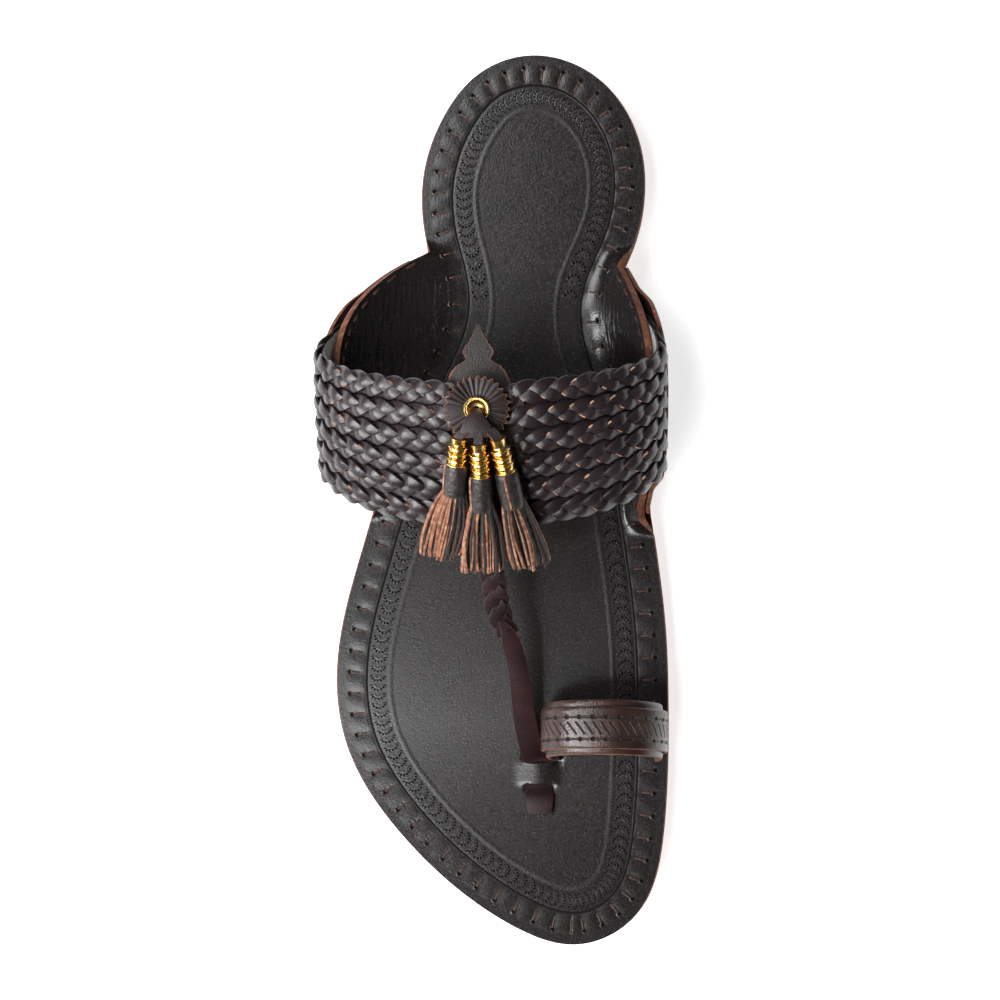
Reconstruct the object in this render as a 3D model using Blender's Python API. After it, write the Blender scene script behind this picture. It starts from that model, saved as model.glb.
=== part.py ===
"""Kolhapuri sandal for the right foot, about EU 42, standing empty on its sole.

+Z is up, the toe points to -Y, and the inner (medial) side of the foot is +X. The origin is on the
floor, midway between the heel end and the toe tip. A rubber outsole, a leather midsole and a leather
insole are stacked. The insole grows two ears at the waist. A band of six plaits is held between each
ear and its outer cover, and the strap and the toe loop go down through slits in the insole.
"""

import math

import bmesh
import bpy
import numpy as np

MM = 0.001
GAP = 0.3 * MM  # air between two pieces that touch on the real sandal

# The stack under the foot
LENGTH = 280 * MM
OUTSOLE_THICK = 4.5 * MM
MIDSOLE_THICK = 2.5 * MM
HEEL_LIFT = 3.5 * MM  # extra leather in the midsole under the heel
HEEL_LIFT_FRONT, HEEL_LIFT_BACK = 10 * MM, 70 * MM  # where the midsole thickens
INSOLE_THICK = 3.0 * MM
TOE_SPRING = 6 * MM
SPRING_START = -72 * MM  # the ball of the foot, where the sole leaves the floor
RUBBER_INSET = 0.8 * MM
SOLE_CHAMFER = 0.5 * MM
SOLE_LAST_TURN = 87  # degrees to the last section at each end, the tip of a round end being at 90
SOLE_EDGE_MM = np.array([
    # y, lateral x, medial x
    (-140.0, 23.5, 23.5),
    (-135.5, 6.5, 38.0),
    (-125.0, -11.0, 47.3),
    (-106.0, -31.8, 52.0),
    (-83.5, -47.0, 53.4),
    (-61.5, -52.0, 53.5),
    (-40.0, -50.2, 52.6),
    (-20.0, -45.0, 50.3),
    (11.0, -36.2, 45.6),
    (40.0, -27.4, 40.0),
    (59.0, -19.2, 35.6),
    (78.0, -21.9, 42.1),
    (98.0, -24.1, 46.3),
    (123.0, -16.2, 39.8),
    (135.0, -5.5, 28.0),
    (140.0, 11.0, 11.0),
])

# The last: the inside of the ears and of the band, worked out from the foot's own measures
LAST_MM = np.array([
    # y, lateral width, medial width, height of the widest place, height of the top
    (-10.0, 46.5, 47.0, 30.0, 47.0),
    (0.0, 47.2, 47.6, 33.0, 53.2),
    (10.0, 47.6, 47.9, 35.5, 58.6),
    (25.0, 48.0, 48.0, 39.0, 63.2),
    (45.0, 48.0, 48.0, 41.0, 65.0),
    (62.0, 46.5, 47.5, 41.0, 65.5),
    (82.0, 41.0, 47.0, 40.0, 65.5),
])
ROOT_PULL, WIDE_PULL_LOW, WIDE_PULL_HIGH, TOP_PULL = 0.45, 0.35, 0.50, 0.55  # fullness of its curves

# The ears of the insole
BEND = 9 * MM  # how far inside the sole's edge the ears start to bend up
BEND_SHARE = 0.3  # and never more than this share of the sole's width
EAR_THICK = 2.0 * MM
SKIVE_RUN = 15 * MM  # from the bend line to where the leather is down to an ear's thickness
EAR_HEIGHT = 24 * MM  # free edge above the footbed
EAR_NOTCH_Y = {-1: (-4 * MM, 79.5 * MM), 1: (-9 * MM, 76.5 * MM)}  # front and rear, by side
EAR_RUN = 3 * MM  # on both sides of a notch, where the flat sheet turns into an ear
EAR_POINTS = 9

# The plaited band
BAND_GAP = 0.45 * MM
BAND_THICK = 2.0 * MM
PLAITS = 6
PLAIT_RELIEF = 1.8 * MM
STRIPS = 28  # strips of one plait from end to end
STRIP_GROOVE = 0.45  # height of a groove between strips, as a share of the relief
STRIP_SLANT = 0.85  # in strip pitches, at the last line of a plait
PLAIT_LINES = (0.0, 0.3, 0.7)  # where a plait's grid lines lie across it
BAND_END_Z = {"rear": 24 * MM, "front": 17 * MM}
BAND_COVERED = 0.1  # share of the band at each end that lies flat under an ear cover
BAND_SWELL = 0.05  # share of the band over which the plaits rise to their full relief
BAND_MIRROR = 0.06  # share on each side of the middle where the strips turn to the other slant
BAND_MM = np.array([
    # place on the section (0 bend line, 1 widest, 2 top), rear edge y, front edge y
    (0.2, 60.0, 9.0),
    (0.6, 57.0, 9.0),
    (0.8, 52.0, 8.5),
    (1.0, 46.0, 7.5),
    (1.2, 42.0, 4.0),
    (1.5, 37.5, -2.0),
    (2.0, 33.0, -7.0),
])
COVER_GAP = 0.5 * MM
COVER_THICK = 1.5 * MM
COVER_INSET = 4 * MM  # from a notch to the cover's end
COVER_START = 1.5 * MM  # inside the bend line, where the cover's foot begins
COVER_FOOT = 4 * MM  # of its width lies flat on the midsole
COVER_EDGE = 0.4 * MM  # its thickness at the foot
COVER_SWELL_Z = (-6.5 * MM, -2 * MM)  # where it swells over the band, from the band's end
COVER_SWELL_FRONT, COVER_SWELL_REAR = (2 * MM, 7 * MM), (60 * MM, 66 * MM)

# The strap from the band to the gap beside the big toe, under the bridge, to its free end
STRAP_MM = np.array([
    # x, y, middle above the footbed, width, thickness
    (0.0, 3.0, 48.3, 6.0, 2.6),
    (0.2, -7.0, 42.2, 6.6, 2.8),
    (2.0, -25.0, 32.9, 6.6, 2.8),
    (6.6, -40.0, 24.4, 5.6, 2.2),
    (8.5, -60.0, 13.9, 6.4, 1.8),
    (9.9, -75.0, 5.3, 7.2, 1.8),
    (11.0, -80.0, 2.0, 7.6, 1.8),
    (11.9, -83.2, -1.0, 8.0, 1.8),
    (12.6, -87.0, -1.2, 8.5, 1.8),
    (12.9, -90.8, -1.1, 8.8, 1.8),
    (13.1, -94.8, 1.35, 9.0, 1.8),
    (13.2, -99.5, 1.25, 7.6, 1.8),
])
STRAP_STATIONS = 46
STRAP_PLAIT_END = -41 * MM
STRAP_PLAIT_PITCH = 6 * MM
STRAP_PLAIT_SWAY = 0.45 * MM
BRIDGE_Y = (-90.8 * MM, -83.2 * MM)
BRIDGE_X, BRIDGE_WIDTH, BRIDGE_RISE = 12.75 * MM, 13.5 * MM, 2.6 * MM
BRIDGE_SUNK, BRIDGE_ROOT = 0.4 * MM, 2 * MM  # how far its sides and its base go into the footbed
BRIDGE_FULLNESS = 0.8  # power of the cosine arch, under 1 for fuller shoulders
SLIT_MARGIN = 2 * MM  # how far the cutters reach past the leather
TUNNEL_HALF, TUNNEL_ROOF = 4.9 * MM, 0.35 * MM
ENTRY_SLIT_X, ENTRY_SLIT_Y = (6.6 * MM, 16.4 * MM), (-83.6 * MM, -79.2 * MM)
EXIT_SLIT_X, EXIT_SLIT_Y = (8.2 * MM, 18.0 * MM), (-95.2 * MM, -90.6 * MM)

# The toe loop
LOOP_Y = -74.8 * MM  # middle of its strip at the footbed
LOOP_LEAN = 0.2  # it leans back by this much for each unit of height
LOOP_WIDTH, LOOP_THICK = 16.6 * MM, 1.6 * MM
OVERLAY_WIDTH, OVERLAY_THICK, OVERLAY_GAP = 12.6 * MM, 1.5 * MM, 0.5 * MM
LOOP_MM = np.array([
    # x of the strip's middle, height above the footbed
    (18.5, -2.7),
    (18.2, 2.0),
    (17.0, 8.0),
    (16.8, 14.0),
    (19.7, 20.8),
    (26.0, 25.4),
    (33.8, 26.7),
    (41.6, 25.4),
    (48.0, 20.8),
    (51.0, 14.0),
    (51.0, 8.0),
    (50.2, 2.0),
    (49.8, -2.7),
])
LOOP_STATIONS = 25
SLIT_AIR = 0.6 * MM

# The tab behind the band
TAB_THICK = 1.6 * MM
TAB_AIR = 0.3 * MM
TAB_MM = np.array([
    # y, half width
    (26.0, 8.6),
    (33.0, 9.4),
    (35.2, 8.6),
    (37.2, 7.6),
    (39.2, 5.2),
    (40.4, 3.6),
    (42.6, 4.5),
    (44.8, 3.2),
    (47.2, 1.4),
    (50.5, 0.5),
])
TAB_X = -0.9 * MM

# The ornament on the band
ROSETTE_X, ROSETTE_Y = -0.9 * MM, 25.5 * MM
ROSETTE_TEETH = 16
ROSETTE_RADIUS, ROSETTE_NOTCH, ROSETTE_HOLE = 9.4 * MM, 8.3 * MM, 3.0 * MM
ROSETTE_THICK, ROSETTE_PLEAT = 1.5 * MM, 0.3 * MM
ROSETTE_MIDDLE = 0.55  # share of the radius with half the pleats' depth
EYELET_RADIUS, EYELET_HOLE, EYELET_BARREL = 3.7 * MM, 2.1 * MM, 2.6 * MM
EYELET_RISE = 1.0 * MM
TONGUE_MM = np.array([
    # x, y, above the plaits, width, thickness
    (-0.9, 25.6, 0.9, 2.6, 1.2),
    (-0.9, 24.2, 3.4, 3.0, 1.4),
    (-0.9, 21.4, 4.9, 6.0, 1.6),
    (-0.6, 18.4, 4.9, 9.4, 1.8),
])
FINGER_RADIUS = 1.1 * MM
FINGER_SPREAD = 0.6  # share of a ferrule's distance from the middle at which its finger starts
FERRULE_RADIUS, FERRULE_WAIST, FERRULE_BORE = 2.55 * MM, 2.1 * MM, 1.55 * MM
FERRULE_RIBS = 4
FINGER_ROOT_MM = 0.8  # how far inside the tongue's end the fingers start
RIB_CREST = 0.62  # where a rib is widest, as a share of its pitch
CAP_RADIUS = 3.4 * MM
CAP_SIDES = 10
CAP_LIP = 0.8 * MM  # rounded upper end of a cap
CAP_LIP_INSET = 0.5 * MM
CAP_HEIGHTS = (2.9 * MM, 3.4 * MM, 3.2 * MM, 2.0 * MM, 1.0 * MM)  # half heights, down to the core's end
CAP_MOUTH_MM = 3.7  # its middle at the lower end, above the plaits
FRINGE_STRIPS = 7
FRINGE_STRIP_WIDTH, FRINGE_STRIP_THICK = 1.9 * MM, 1.3 * MM
FRINGE_CORE_SHARE = 0.72  # of the fringe's length, past which the strips part
FRINGE_ROOT = 1.5 * MM  # how far inside the cap the strips start
FRINGE_ROOT_SPREAD = 0.75  # share of the cap's radius that they start from
FRINGE_WAVE = 0.55 * MM  # strips lie this far above and below the middle in turn
FRINGE_BOW = 0.5 * MM  # how far the outer strips bow out
FRINGE_SHORTER = 0.06  # of the length, the step between strips of different length
TASSELS_MM = {
    # ferrule from x, y, above the plaits, and to; cap's end x, y; fringe's end x, y, z; half spread
    "lateral": ((-5.6, 17.3, 5.0), (-6.9, 9.8, 3.6), (-8.0, 0.8), (-14.1, -18.4, 50.5), 6.0),
    "centre": ((-0.1, 15.6, 5.0), (0.0, 6.4, 3.6), (0.0, -3.6), (-1.4, -23.0, 48.8), 6.6),
    "medial": ((5.3, 17.0, 5.0), (7.4, 7.6, 3.6), (9.3, -2.4), (13.6, -21.5, 49.0), 5.6),
}


def smooth(low, high, value):
    """0 up to low, 1 from high, with an even S between them."""
    share = np.clip((value - low) / (high - low), 0, 1)
    return share * share * (3 - 2 * share)


def spline(knots, values):
    """The natural cubic through values at rising knots, as a function that holds its ends."""
    knots, values = np.asarray(knots, float), np.asarray(values, float)
    step, last = np.diff(knots), len(knots) - 1
    matrix, right = np.eye(last + 1), np.zeros(last + 1)
    for i in range(1, last):
        matrix[i, i - 1 : i + 2] = step[i - 1], 2 * (step[i - 1] + step[i]), step[i]
        slopes = np.diff(values[i - 1 : i + 2]) / step[i - 1 : i + 1]
        right[i] = 6 * (slopes[1] - slopes[0])
    bend = np.linalg.solve(matrix, right)

    def curve(at):
        at = np.clip(at, knots[0], knots[-1])
        i = np.clip(np.searchsorted(knots, at) - 1, 0, last - 1)
        a = (knots[i + 1] - at) / step[i]
        b = 1 - a
        cubic = (a**3 - a) * bend[i] + (b**3 - b) * bend[i + 1]
        return a * values[i] + b * values[i + 1] + cubic * step[i] ** 2 / 6

    return curve


def along(table, count):
    """Rows at even steps of length along a smooth curve through a table whose rows start x, y, z."""
    run = np.concatenate([[0], np.cumsum(np.linalg.norm(np.diff(table[:, :3], axis=0), axis=1))])
    at = np.linspace(0, run[-1], count)
    return np.stack([spline(run, column)(at) for column in table.T], axis=1)


# Heights of the sole's layers and places of its edge, as functions of y


def toe_rise(y):
    """Toe spring: a parabola from the ball of the foot to the toe tip."""
    return TOE_SPRING * np.clip((SPRING_START - y) / (SPRING_START + LENGTH / 2), 0, 1) ** 2


def outsole_top(y):
    return OUTSOLE_THICK + toe_rise(y)


def midsole_bottom(y):
    return outsole_top(y) + GAP


def midsole_top(y):
    return midsole_bottom(y) + MIDSOLE_THICK + HEEL_LIFT * smooth(HEEL_LIFT_FRONT, HEEL_LIFT_BACK, y)


def footbed(y):
    return midsole_top(y) + GAP + INSOLE_THICK


def turn_of(y):
    """The angle whose sine is y over half the length, in which the sole's edge has round ends."""
    return np.arcsin(np.clip(y / (LENGTH / 2), -1, 1))


EDGE_OF_SIDE = {
    -1: spline(turn_of(SOLE_EDGE_MM[:, 0] * MM), SOLE_EDGE_MM[:, 1] * MM),
    1: spline(turn_of(SOLE_EDGE_MM[:, 0] * MM), SOLE_EDGE_MM[:, 2] * MM),
}
WIDE_OF_SIDE = {
    -1: spline(LAST_MM[:, 0] * MM, LAST_MM[:, 1] * MM),
    1: spline(LAST_MM[:, 0] * MM, LAST_MM[:, 2] * MM),
}
WIDE_Z = spline(LAST_MM[:, 0] * MM, LAST_MM[:, 3] * MM)
TOP_Z = spline(LAST_MM[:, 0] * MM, LAST_MM[:, 4] * MM)
BAND_REAR = spline(BAND_MM[:, 0], BAND_MM[:, 1] * MM)
BAND_FRONT = spline(BAND_MM[:, 0], BAND_MM[:, 2] * MM)


def edge(y, side):
    """x of the sole's edge; side is -1 for lateral and 1 for medial."""
    return EDGE_OF_SIDE[side](turn_of(y))


def bend_width(y):
    """Distance from the bend line to the sole's edge, less where the sole is narrow."""
    return np.minimum(BEND, BEND_SHARE * (edge(y, 1) - edge(y, -1)))


def sole_stations(count):
    """y of sections that crowd towards the heel end and the toe tip."""
    return LENGTH / 2 * np.sin(np.radians(np.linspace(-SOLE_LAST_TURN, SOLE_LAST_TURN, count)))


# The last


def bezier(a, b, c, d, t):
    return (1 - t) ** 3 * a + 3 * (1 - t) ** 2 * t * b + 3 * (1 - t) * t**2 * c + t**3 * d


def last_xz(y, place, side):
    """x and z of the last at y; place is 0 at the bend line, 1 at the widest, 2 on top."""
    root_x, root_z = edge(y, side) - side * bend_width(y), footbed(y)
    wide_x, wide_z, top_z = side * WIDE_OF_SIDE[side](y), WIDE_Z(y), TOP_Z(y)
    lower, upper = place, place - 1
    low_x = bezier(root_x, root_x + ROOT_PULL * (wide_x - root_x), wide_x, wide_x, lower)
    low_z = bezier(root_z, root_z, wide_z - WIDE_PULL_LOW * (wide_z - root_z), wide_z, lower)
    high_x = bezier(wide_x, wide_x, TOP_PULL * wide_x, 0, upper)
    high_z = bezier(wide_z, wide_z + WIDE_PULL_HIGH * (top_z - wide_z), top_z, top_z, upper)
    return np.where(place < 1, low_x, high_x), np.where(place < 1, low_z, high_z)


def last_point(y, place, side):
    x, z = last_xz(y, place, side)
    return np.stack([x, np.broadcast_to(y, x.shape), z], axis=-1)


def last_normal(y, place, side):
    """Unit normals of the last, pointing away from the foot."""
    step_y, step_place = 0.2 * MM, 0.002
    by_y = last_point(y + step_y, place, side) - last_point(y - step_y, place, side)
    by_place = last_point(y, place + step_place, side) - last_point(y, place - step_place, side)
    normal = side * np.cross(by_y, by_place)
    return normal / np.linalg.norm(normal, axis=-1, keepdims=True)


def last_z(x, y):
    """Height of the last above a place in plan, near its top."""
    places = np.linspace(1, 2, 61)
    x, y = np.broadcast_arrays(np.asarray(x, float), np.asarray(y, float))
    heights = np.empty(x.shape)
    for i in np.ndindex(x.shape):
        side = 1 if x[i] >= 0 else -1
        row_x, row_z = last_xz(y[i], places, side)
        heights[i] = np.interp(abs(x[i]), (side * row_x)[::-1], row_z[::-1])
    return heights


def last_slope(x, y):
    """Rise of the last along x and along y."""
    step = 0.5 * MM
    return (
        (last_z(x + step, y) - last_z(x - step, y)) / (2 * step),
        (last_z(x, y + step) - last_z(x, y - step)) / (2 * step),
    )


def above_last(x, y, height):
    """Points that lie height off the last, measured square to it."""
    by_x, by_y = last_slope(x, y)
    return last_z(x, y) + height * np.sqrt(1 + by_x**2 + by_y**2)


PLAIT_TOP = EAR_THICK + BAND_GAP + BAND_THICK + PLAIT_RELIEF


# Making objects


def material(name, colour, roughness, metallic=0.0):
    made = bpy.data.materials.new(name)
    made.use_nodes = True
    shader = made.node_tree.nodes["Principled BSDF"]
    shader.inputs["Base Color"].default_value = (*colour, 1)
    shader.inputs["Roughness"].default_value = roughness
    shader.inputs["Metallic"].default_value = metallic
    return made


def new_object(name, bm, finish):
    """An object from a bmesh, with its faces turned outwards and its small angles smooth."""
    bmesh.ops.recalc_face_normals(bm, faces=bm.faces)
    mesh = bpy.data.meshes.new(name)
    bm.to_mesh(mesh)
    bm.free()
    mesh.materials.append(finish)
    mesh.shade_smooth()
    mesh.set_sharp_from_angle(angle=math.radians(40))
    made = bpy.data.objects.new(name, mesh)
    bpy.context.scene.collection.objects.link(made)
    return made


def loft(name, rings, finish):
    """A closed body through rings of an even count of points, its first and last ring filled by a
    row of faces that join each point to its opposite one."""
    bm = bmesh.new()
    rows = [[bm.verts.new(point) for point in ring] for ring in rings]
    count = len(rows[0])
    for row, following in zip(rows, rows[1:]):
        for k in range(count):
            after = (k + 1) % count
            bm.faces.new((row[k], row[after], following[after], following[k]))
    for row in (rows[0], rows[-1]):
        for k in range(count // 2 - 1):
            bm.faces.new((row[k], row[k + 1], row[-2 - k], row[-1 - k]))
    bmesh.ops.triangulate(bm, faces=bm.faces)
    return new_object(name, bm, finish)


def lathe(name, profile, sides, finish):
    """A closed ring turned about Z from a closed profile of radius and height."""
    turns = np.linspace(0, 2 * math.pi, sides, endpoint=False)
    bm = bmesh.new()
    rows = [[bm.verts.new((r * math.cos(t), r * math.sin(t), z)) for r, z in profile] for t in turns]
    count = len(profile)
    for i, row in enumerate(rows):
        following = rows[(i + 1) % sides]
        for k in range(count):
            after = (k + 1) % count
            bm.faces.new((row[k], row[after], following[after], following[k]))
    return new_object(name, bm, finish)


def block(name, x, y, z, finish):
    """A plain box from its lower and upper x, y and z."""
    corners = [(x[0], y[0]), (x[1], y[0]), (x[1], y[1]), (x[0], y[1])]
    return loft(name, [[(*corner, level) for corner in corners] for level in z], finish)


def helper(made):
    made.hide_render = True
    made.display_type = "WIRE"
    return made


def combine(target, others, operation):
    for other in others:
        step = target.modifiers.new(other.name, "BOOLEAN")
        step.operation = operation
        step.solver = "EXACT"
        step.object = helper(other)
    return target


def directions(path, across):
    """At each point of a path: the way along, the way across (near the given one), and the way up."""
    forward = np.gradient(path, axis=0)
    forward /= np.linalg.norm(forward, axis=1, keepdims=True)
    sideways = across - forward * (forward @ across)[:, None]
    sideways /= np.linalg.norm(sideways, axis=1, keepdims=True)
    return forward, sideways, np.cross(sideways, forward)


def strip_rings(path, left, right, thickness, across):
    """Six-sided sections of a leather strip: flat above and below, with its two edges eased."""
    _, sideways, up = directions(path, np.asarray(across, float))
    ease = 0.3 * thickness
    places = (
        (-left, 0),
        (ease - left, -thickness / 2),
        (right - ease, -thickness / 2),
        (right, 0),
        (right - ease, thickness / 2),
        (ease - left, thickness / 2),
    )
    corners = []
    for wide, high in places:
        wide, high = (np.broadcast_to(value, len(path))[:, None] for value in (wide, high))
        corners.append(path + sideways * wide + up * high)
    return np.stack(corners, axis=1)


def round_rings(path, widths, heights, sides, across):
    """Elliptic sections with the given half widths and half heights."""
    _, sideways, up = directions(path, np.asarray(across, float))
    turns = np.linspace(0, 2 * math.pi, sides, endpoint=False)
    wide = sideways[:, None] * (np.cos(turns)[None, :, None] * np.asarray(widths)[:, None, None])
    high = up[:, None] * (np.sin(turns)[None, :, None] * np.asarray(heights)[:, None, None])
    return path[:, None] + wide + high


# The pieces


def sole_layer(name, inset, bottom, top, finish):
    """A sheet with the sole's outline between two heights, its edges eased."""
    rings = []
    for y in sole_stations(43):
        low, high = bottom(y), top(y)
        left, right = edge(y, -1) + inset, edge(y, 1) - inset
        ease = SOLE_CHAMFER
        rings.append([
            (x, y * (1 - 2 * inset / LENGTH), z)
            for x, z in (
                (left + ease, low),
                (right - ease, low),
                (right, low + ease),
                (right, high - ease),
                (right - ease, high),
                (left + ease, high),
                (left, high - ease),
                (left, low + ease),
            )
        ])
    return loft(name, rings, finish)


def ear_share(y, side):
    """1 where the insole bends up into an ear, 0 where it lies flat, with a short run between."""
    front, rear = EAR_NOTCH_Y[side]
    risen = smooth(front - EAR_RUN, front + EAR_RUN, y)
    return risen * (1 - smooth(rear - EAR_RUN, rear + EAR_RUN, y))


def ear_height(y, side):
    """Height of the ear's free edge above the footbed: a parabola between its notches."""
    front, rear = EAR_NOTCH_Y[side]
    place = np.clip((2 * y - front - rear) / (rear - front), -1, 1)
    return EAR_HEIGHT * (1 - place**2)


def ear_profile(y, side):
    """Distance from the bend line, x, z and outward normal of the insole's upper face at one y."""
    x, z = last_xz(y, np.linspace(0, 1, 41), side)
    run = np.concatenate([[0], np.cumsum(np.hypot(np.diff(x), np.diff(z)))])
    share = ear_share(y, side)
    x = share * x + (1 - share) * (x[0] + side * run)
    z = share * z + (1 - share) * z[0]
    along_x, along_z = np.gradient(x), np.gradient(z)
    size = np.hypot(along_x, along_z)
    return run, x, z, side * along_z / size, -side * along_x / size


def ear_reach(y, side):
    """Distance from the bend line to the sheet's edge: the sole's edge, or the ear's free edge."""
    run, _, z, _, _ = ear_profile(y, side)
    flat = float(bend_width(y))
    height = ear_height(y, side)
    if height <= 0:
        return flat
    return max(flat, float(np.interp(footbed(y) + height, z, run)))


def ear_points(y, side, distance, offset):
    """Points of a section at distances from the bend line, off the upper face by offset."""
    run, x, z, out_x, out_z = ear_profile(y, side)
    values = [np.interp(distance, run, column) for column in (x, z, out_x, out_z)]
    return values[0] + values[2] * offset, values[1] + values[3] * offset


def insole_depth(y, side, distance):
    """Thickness of the insole leather, skived thinner towards an ear's free edge."""
    thin = ear_share(y, side) * smooth(0, SKIVE_RUN, distance)
    return INSOLE_THICK - (INSOLE_THICK - EAR_THICK) * thin


def insole_stations():
    """Sections crowd over the ears and at their notches."""
    front, rear = EAR_NOTCH_Y[1][0] - EAR_RUN, EAR_NOTCH_Y[-1][1] + EAR_RUN
    plain = [y for y in sole_stations(37) if not front - EAR_RUN < y < rear + EAR_RUN]
    return sorted(plain + list(np.linspace(front, rear, 27)))


def insole(finish):
    """The footbed and both ears as one bent sheet, with the bridge raised and the slits cut."""
    rings = []
    for y in insole_stations():
        upper, lower = [], []
        for side in (-1, 1):
            distance = np.linspace(0, ear_reach(y, side), EAR_POINTS + 1)
            for points, offset in ((upper, 0), (lower, insole_depth(y, side, distance))):
                x, z = ear_points(y, side, distance, offset)
                row = [(a, y, b) for a, b in zip(x, z)]
                points.extend(row[::-1] if side < 0 else row)
        rings.append(upper + lower[::-1])
    made = loft("insole", rings, finish)
    combine(made, [bridge(finish)], "UNION")
    face = float(footbed(BRIDGE_Y[0]))
    low, high = face - INSOLE_THICK - SLIT_MARGIN, face + SLIT_MARGIN
    roof = float(footbed(sum(BRIDGE_Y) / 2)) + TUNNEL_ROOF
    tunnel_x = (BRIDGE_X - TUNNEL_HALF, BRIDGE_X + TUNNEL_HALF)
    tunnel_y = (EXIT_SLIT_Y[1] - MM, ENTRY_SLIT_Y[0] + MM)
    cutters = [
        block("tunnel cutter", tunnel_x, tunnel_y, (low, roof), finish),
        block("entry slit cutter", ENTRY_SLIT_X, ENTRY_SLIT_Y, (low, high), finish),
        block("exit slit cutter", EXIT_SLIT_X, EXIT_SLIT_Y, (low, high), finish),
    ]
    half_x, half_y = LOOP_THICK / 2 + SLIT_AIR, LOOP_WIDTH / 2 + 2 * SLIT_AIR
    slit_y = (LOOP_Y - half_y, LOOP_Y + half_y)
    for name, x_mm in (("lateral loop slit", LOOP_MM[0, 0]), ("medial loop slit", LOOP_MM[-1, 0])):
        slit_x = (x_mm * MM - half_x, x_mm * MM + half_x)
        cutters.append(block(name, slit_x, slit_y, (low, high), finish))
    return combine(made, cutters, "DIFFERENCE")


def bridge(finish):
    """The strip of footbed between the strap's two slits, pushed up into an arch by the strap."""
    half = BRIDGE_WIDTH / 2
    rings = []
    for y in BRIDGE_Y:
        face, top = float(footbed(y)), []
        for share in np.linspace(-1, 1, 10):
            arch = math.cos(share * math.pi / 2) ** BRIDGE_FULLNESS
            rise = (BRIDGE_RISE + BRIDGE_SUNK) * arch - BRIDGE_SUNK
            top.append((BRIDGE_X + half * share, y, face + rise))
        base = face - BRIDGE_ROOT
        rings.append([(BRIDGE_X - half, y, base), *top, (BRIDGE_X + half, y, base)])
    return loft("bridge over the strap", rings, finish)


def band_end_z(share):
    return BAND_END_Z["rear"] + share * (BAND_END_Z["front"] - BAND_END_Z["rear"])


def band_line(share, steps):
    """Place, y and side at given steps (0 lateral end, 1 medial end) along a line across the foot.

    share is 0 on the band's rear edge and 1 on its front edge.
    """
    ends, halves = np.linspace(0.05, 1, 96), []
    for side in (-1, 1):
        y = BAND_REAR(ends) + share * (BAND_FRONT(ends) - BAND_REAR(ends))
        _, z = last_xz(y, ends, side)
        place = np.linspace(np.interp(band_end_z(share), z, ends), 2, 90)
        y = BAND_REAR(place) + share * (BAND_FRONT(place) - BAND_REAR(place))
        halves.append((place, y, last_point(y, place, side)))
    left, right = halves
    points = np.concatenate([left[2], right[2][-2::-1]])
    run = np.concatenate([[0], np.cumsum(np.linalg.norm(np.diff(points, axis=0), axis=1))])
    place = np.concatenate([left[0], 4 - right[0][-2::-1]])
    at = np.interp(np.asarray(steps) * run[-1], run, place)
    side = np.where(at <= 2, -1, 1)
    place = np.where(at <= 2, at, 4 - at)
    return place, BAND_REAR(place) + share * (BAND_FRONT(place) - BAND_REAR(place)), side


def band_points(share, steps, offset):
    """Points off the last by offset, in a row of steps across the foot."""
    place, y, side = band_line(share, steps)
    points = np.empty((len(place), 3))
    for s in (-1, 1):
        on = side == s
        lift = np.broadcast_to(offset, len(place))[on, None]
        points[on] = last_point(y[on], place[on], s) + lift * last_normal(y[on], place[on], s)
    return points


def plaited_rows():
    """Rows of the band's outer face: each plait is a ridge of slanted strips, highest off its seams."""
    steps = np.linspace(0, 1, 2 * STRIPS + 1)
    inner = EAR_THICK + BAND_GAP + BAND_THICK
    from_end = np.minimum(steps, 1 - steps)
    free = smooth(BAND_COVERED, BAND_COVERED + BAND_SWELL, from_end)
    mirror = np.clip((0.5 - steps) / BAND_MIRROR, -1, 1)
    rows = []
    for plait in range(PLAITS):
        for line, across in enumerate(PLAIT_LINES):
            if line == 0:
                rows.append(band_points(plait / PLAITS, steps, inner))
                continue
            slant = STRIP_SLANT * (across / PLAIT_LINES[-1]) / STRIPS
            crest = np.where(np.arange(len(steps)) % 2 == line % 2, 1.0, STRIP_GROOVE)
            offset = inner + PLAIT_RELIEF * crest * free
            rows.append(band_points((plait + across) / PLAITS, steps + slant * mirror * free, offset))
    rows.append(band_points(1.0, steps, inner))
    return rows


def zip_faces(bm, first, second):
    """Triangles between two rows of vertices that run side by side with different counts."""
    i = j = 0
    while i < len(first) - 1 or j < len(second) - 1:
        next_i = (i + 1) / (len(first) - 1) if i < len(first) - 1 else 2
        next_j = (j + 1) / (len(second) - 1) if j < len(second) - 1 else 2
        if next_i <= next_j:
            bm.faces.new((first[i], first[i + 1], second[j]))
            i += 1
        else:
            bm.faces.new((first[i], second[j + 1], second[j]))
            j += 1


def plaited_band(finish):
    """The band: a smooth inside, a plaited outside and a rim that joins them."""
    bm = bmesh.new()
    outer = [[bm.verts.new(point) for point in row] for row in plaited_rows()]
    steps = np.linspace(0, 1, STRIPS + 1)
    inner = [
        [bm.verts.new(point) for point in band_points(k / PLAITS, steps, EAR_THICK + BAND_GAP)]
        for k in range(PLAITS + 1)
    ]
    for grid in (outer, inner):
        for row, following in zip(grid, grid[1:]):
            for k in range(len(row) - 1):
                bm.faces.new((row[k], row[k + 1], following[k + 1], following[k]))
    for which in (0, -1):
        zip_faces(bm, outer[which], inner[which])
        zip_faces(bm, [row[which] for row in outer], [row[which] for row in inner])
    bmesh.ops.triangulate(bm, faces=bm.faces)
    return new_object("upper", bm, finish)


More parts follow.
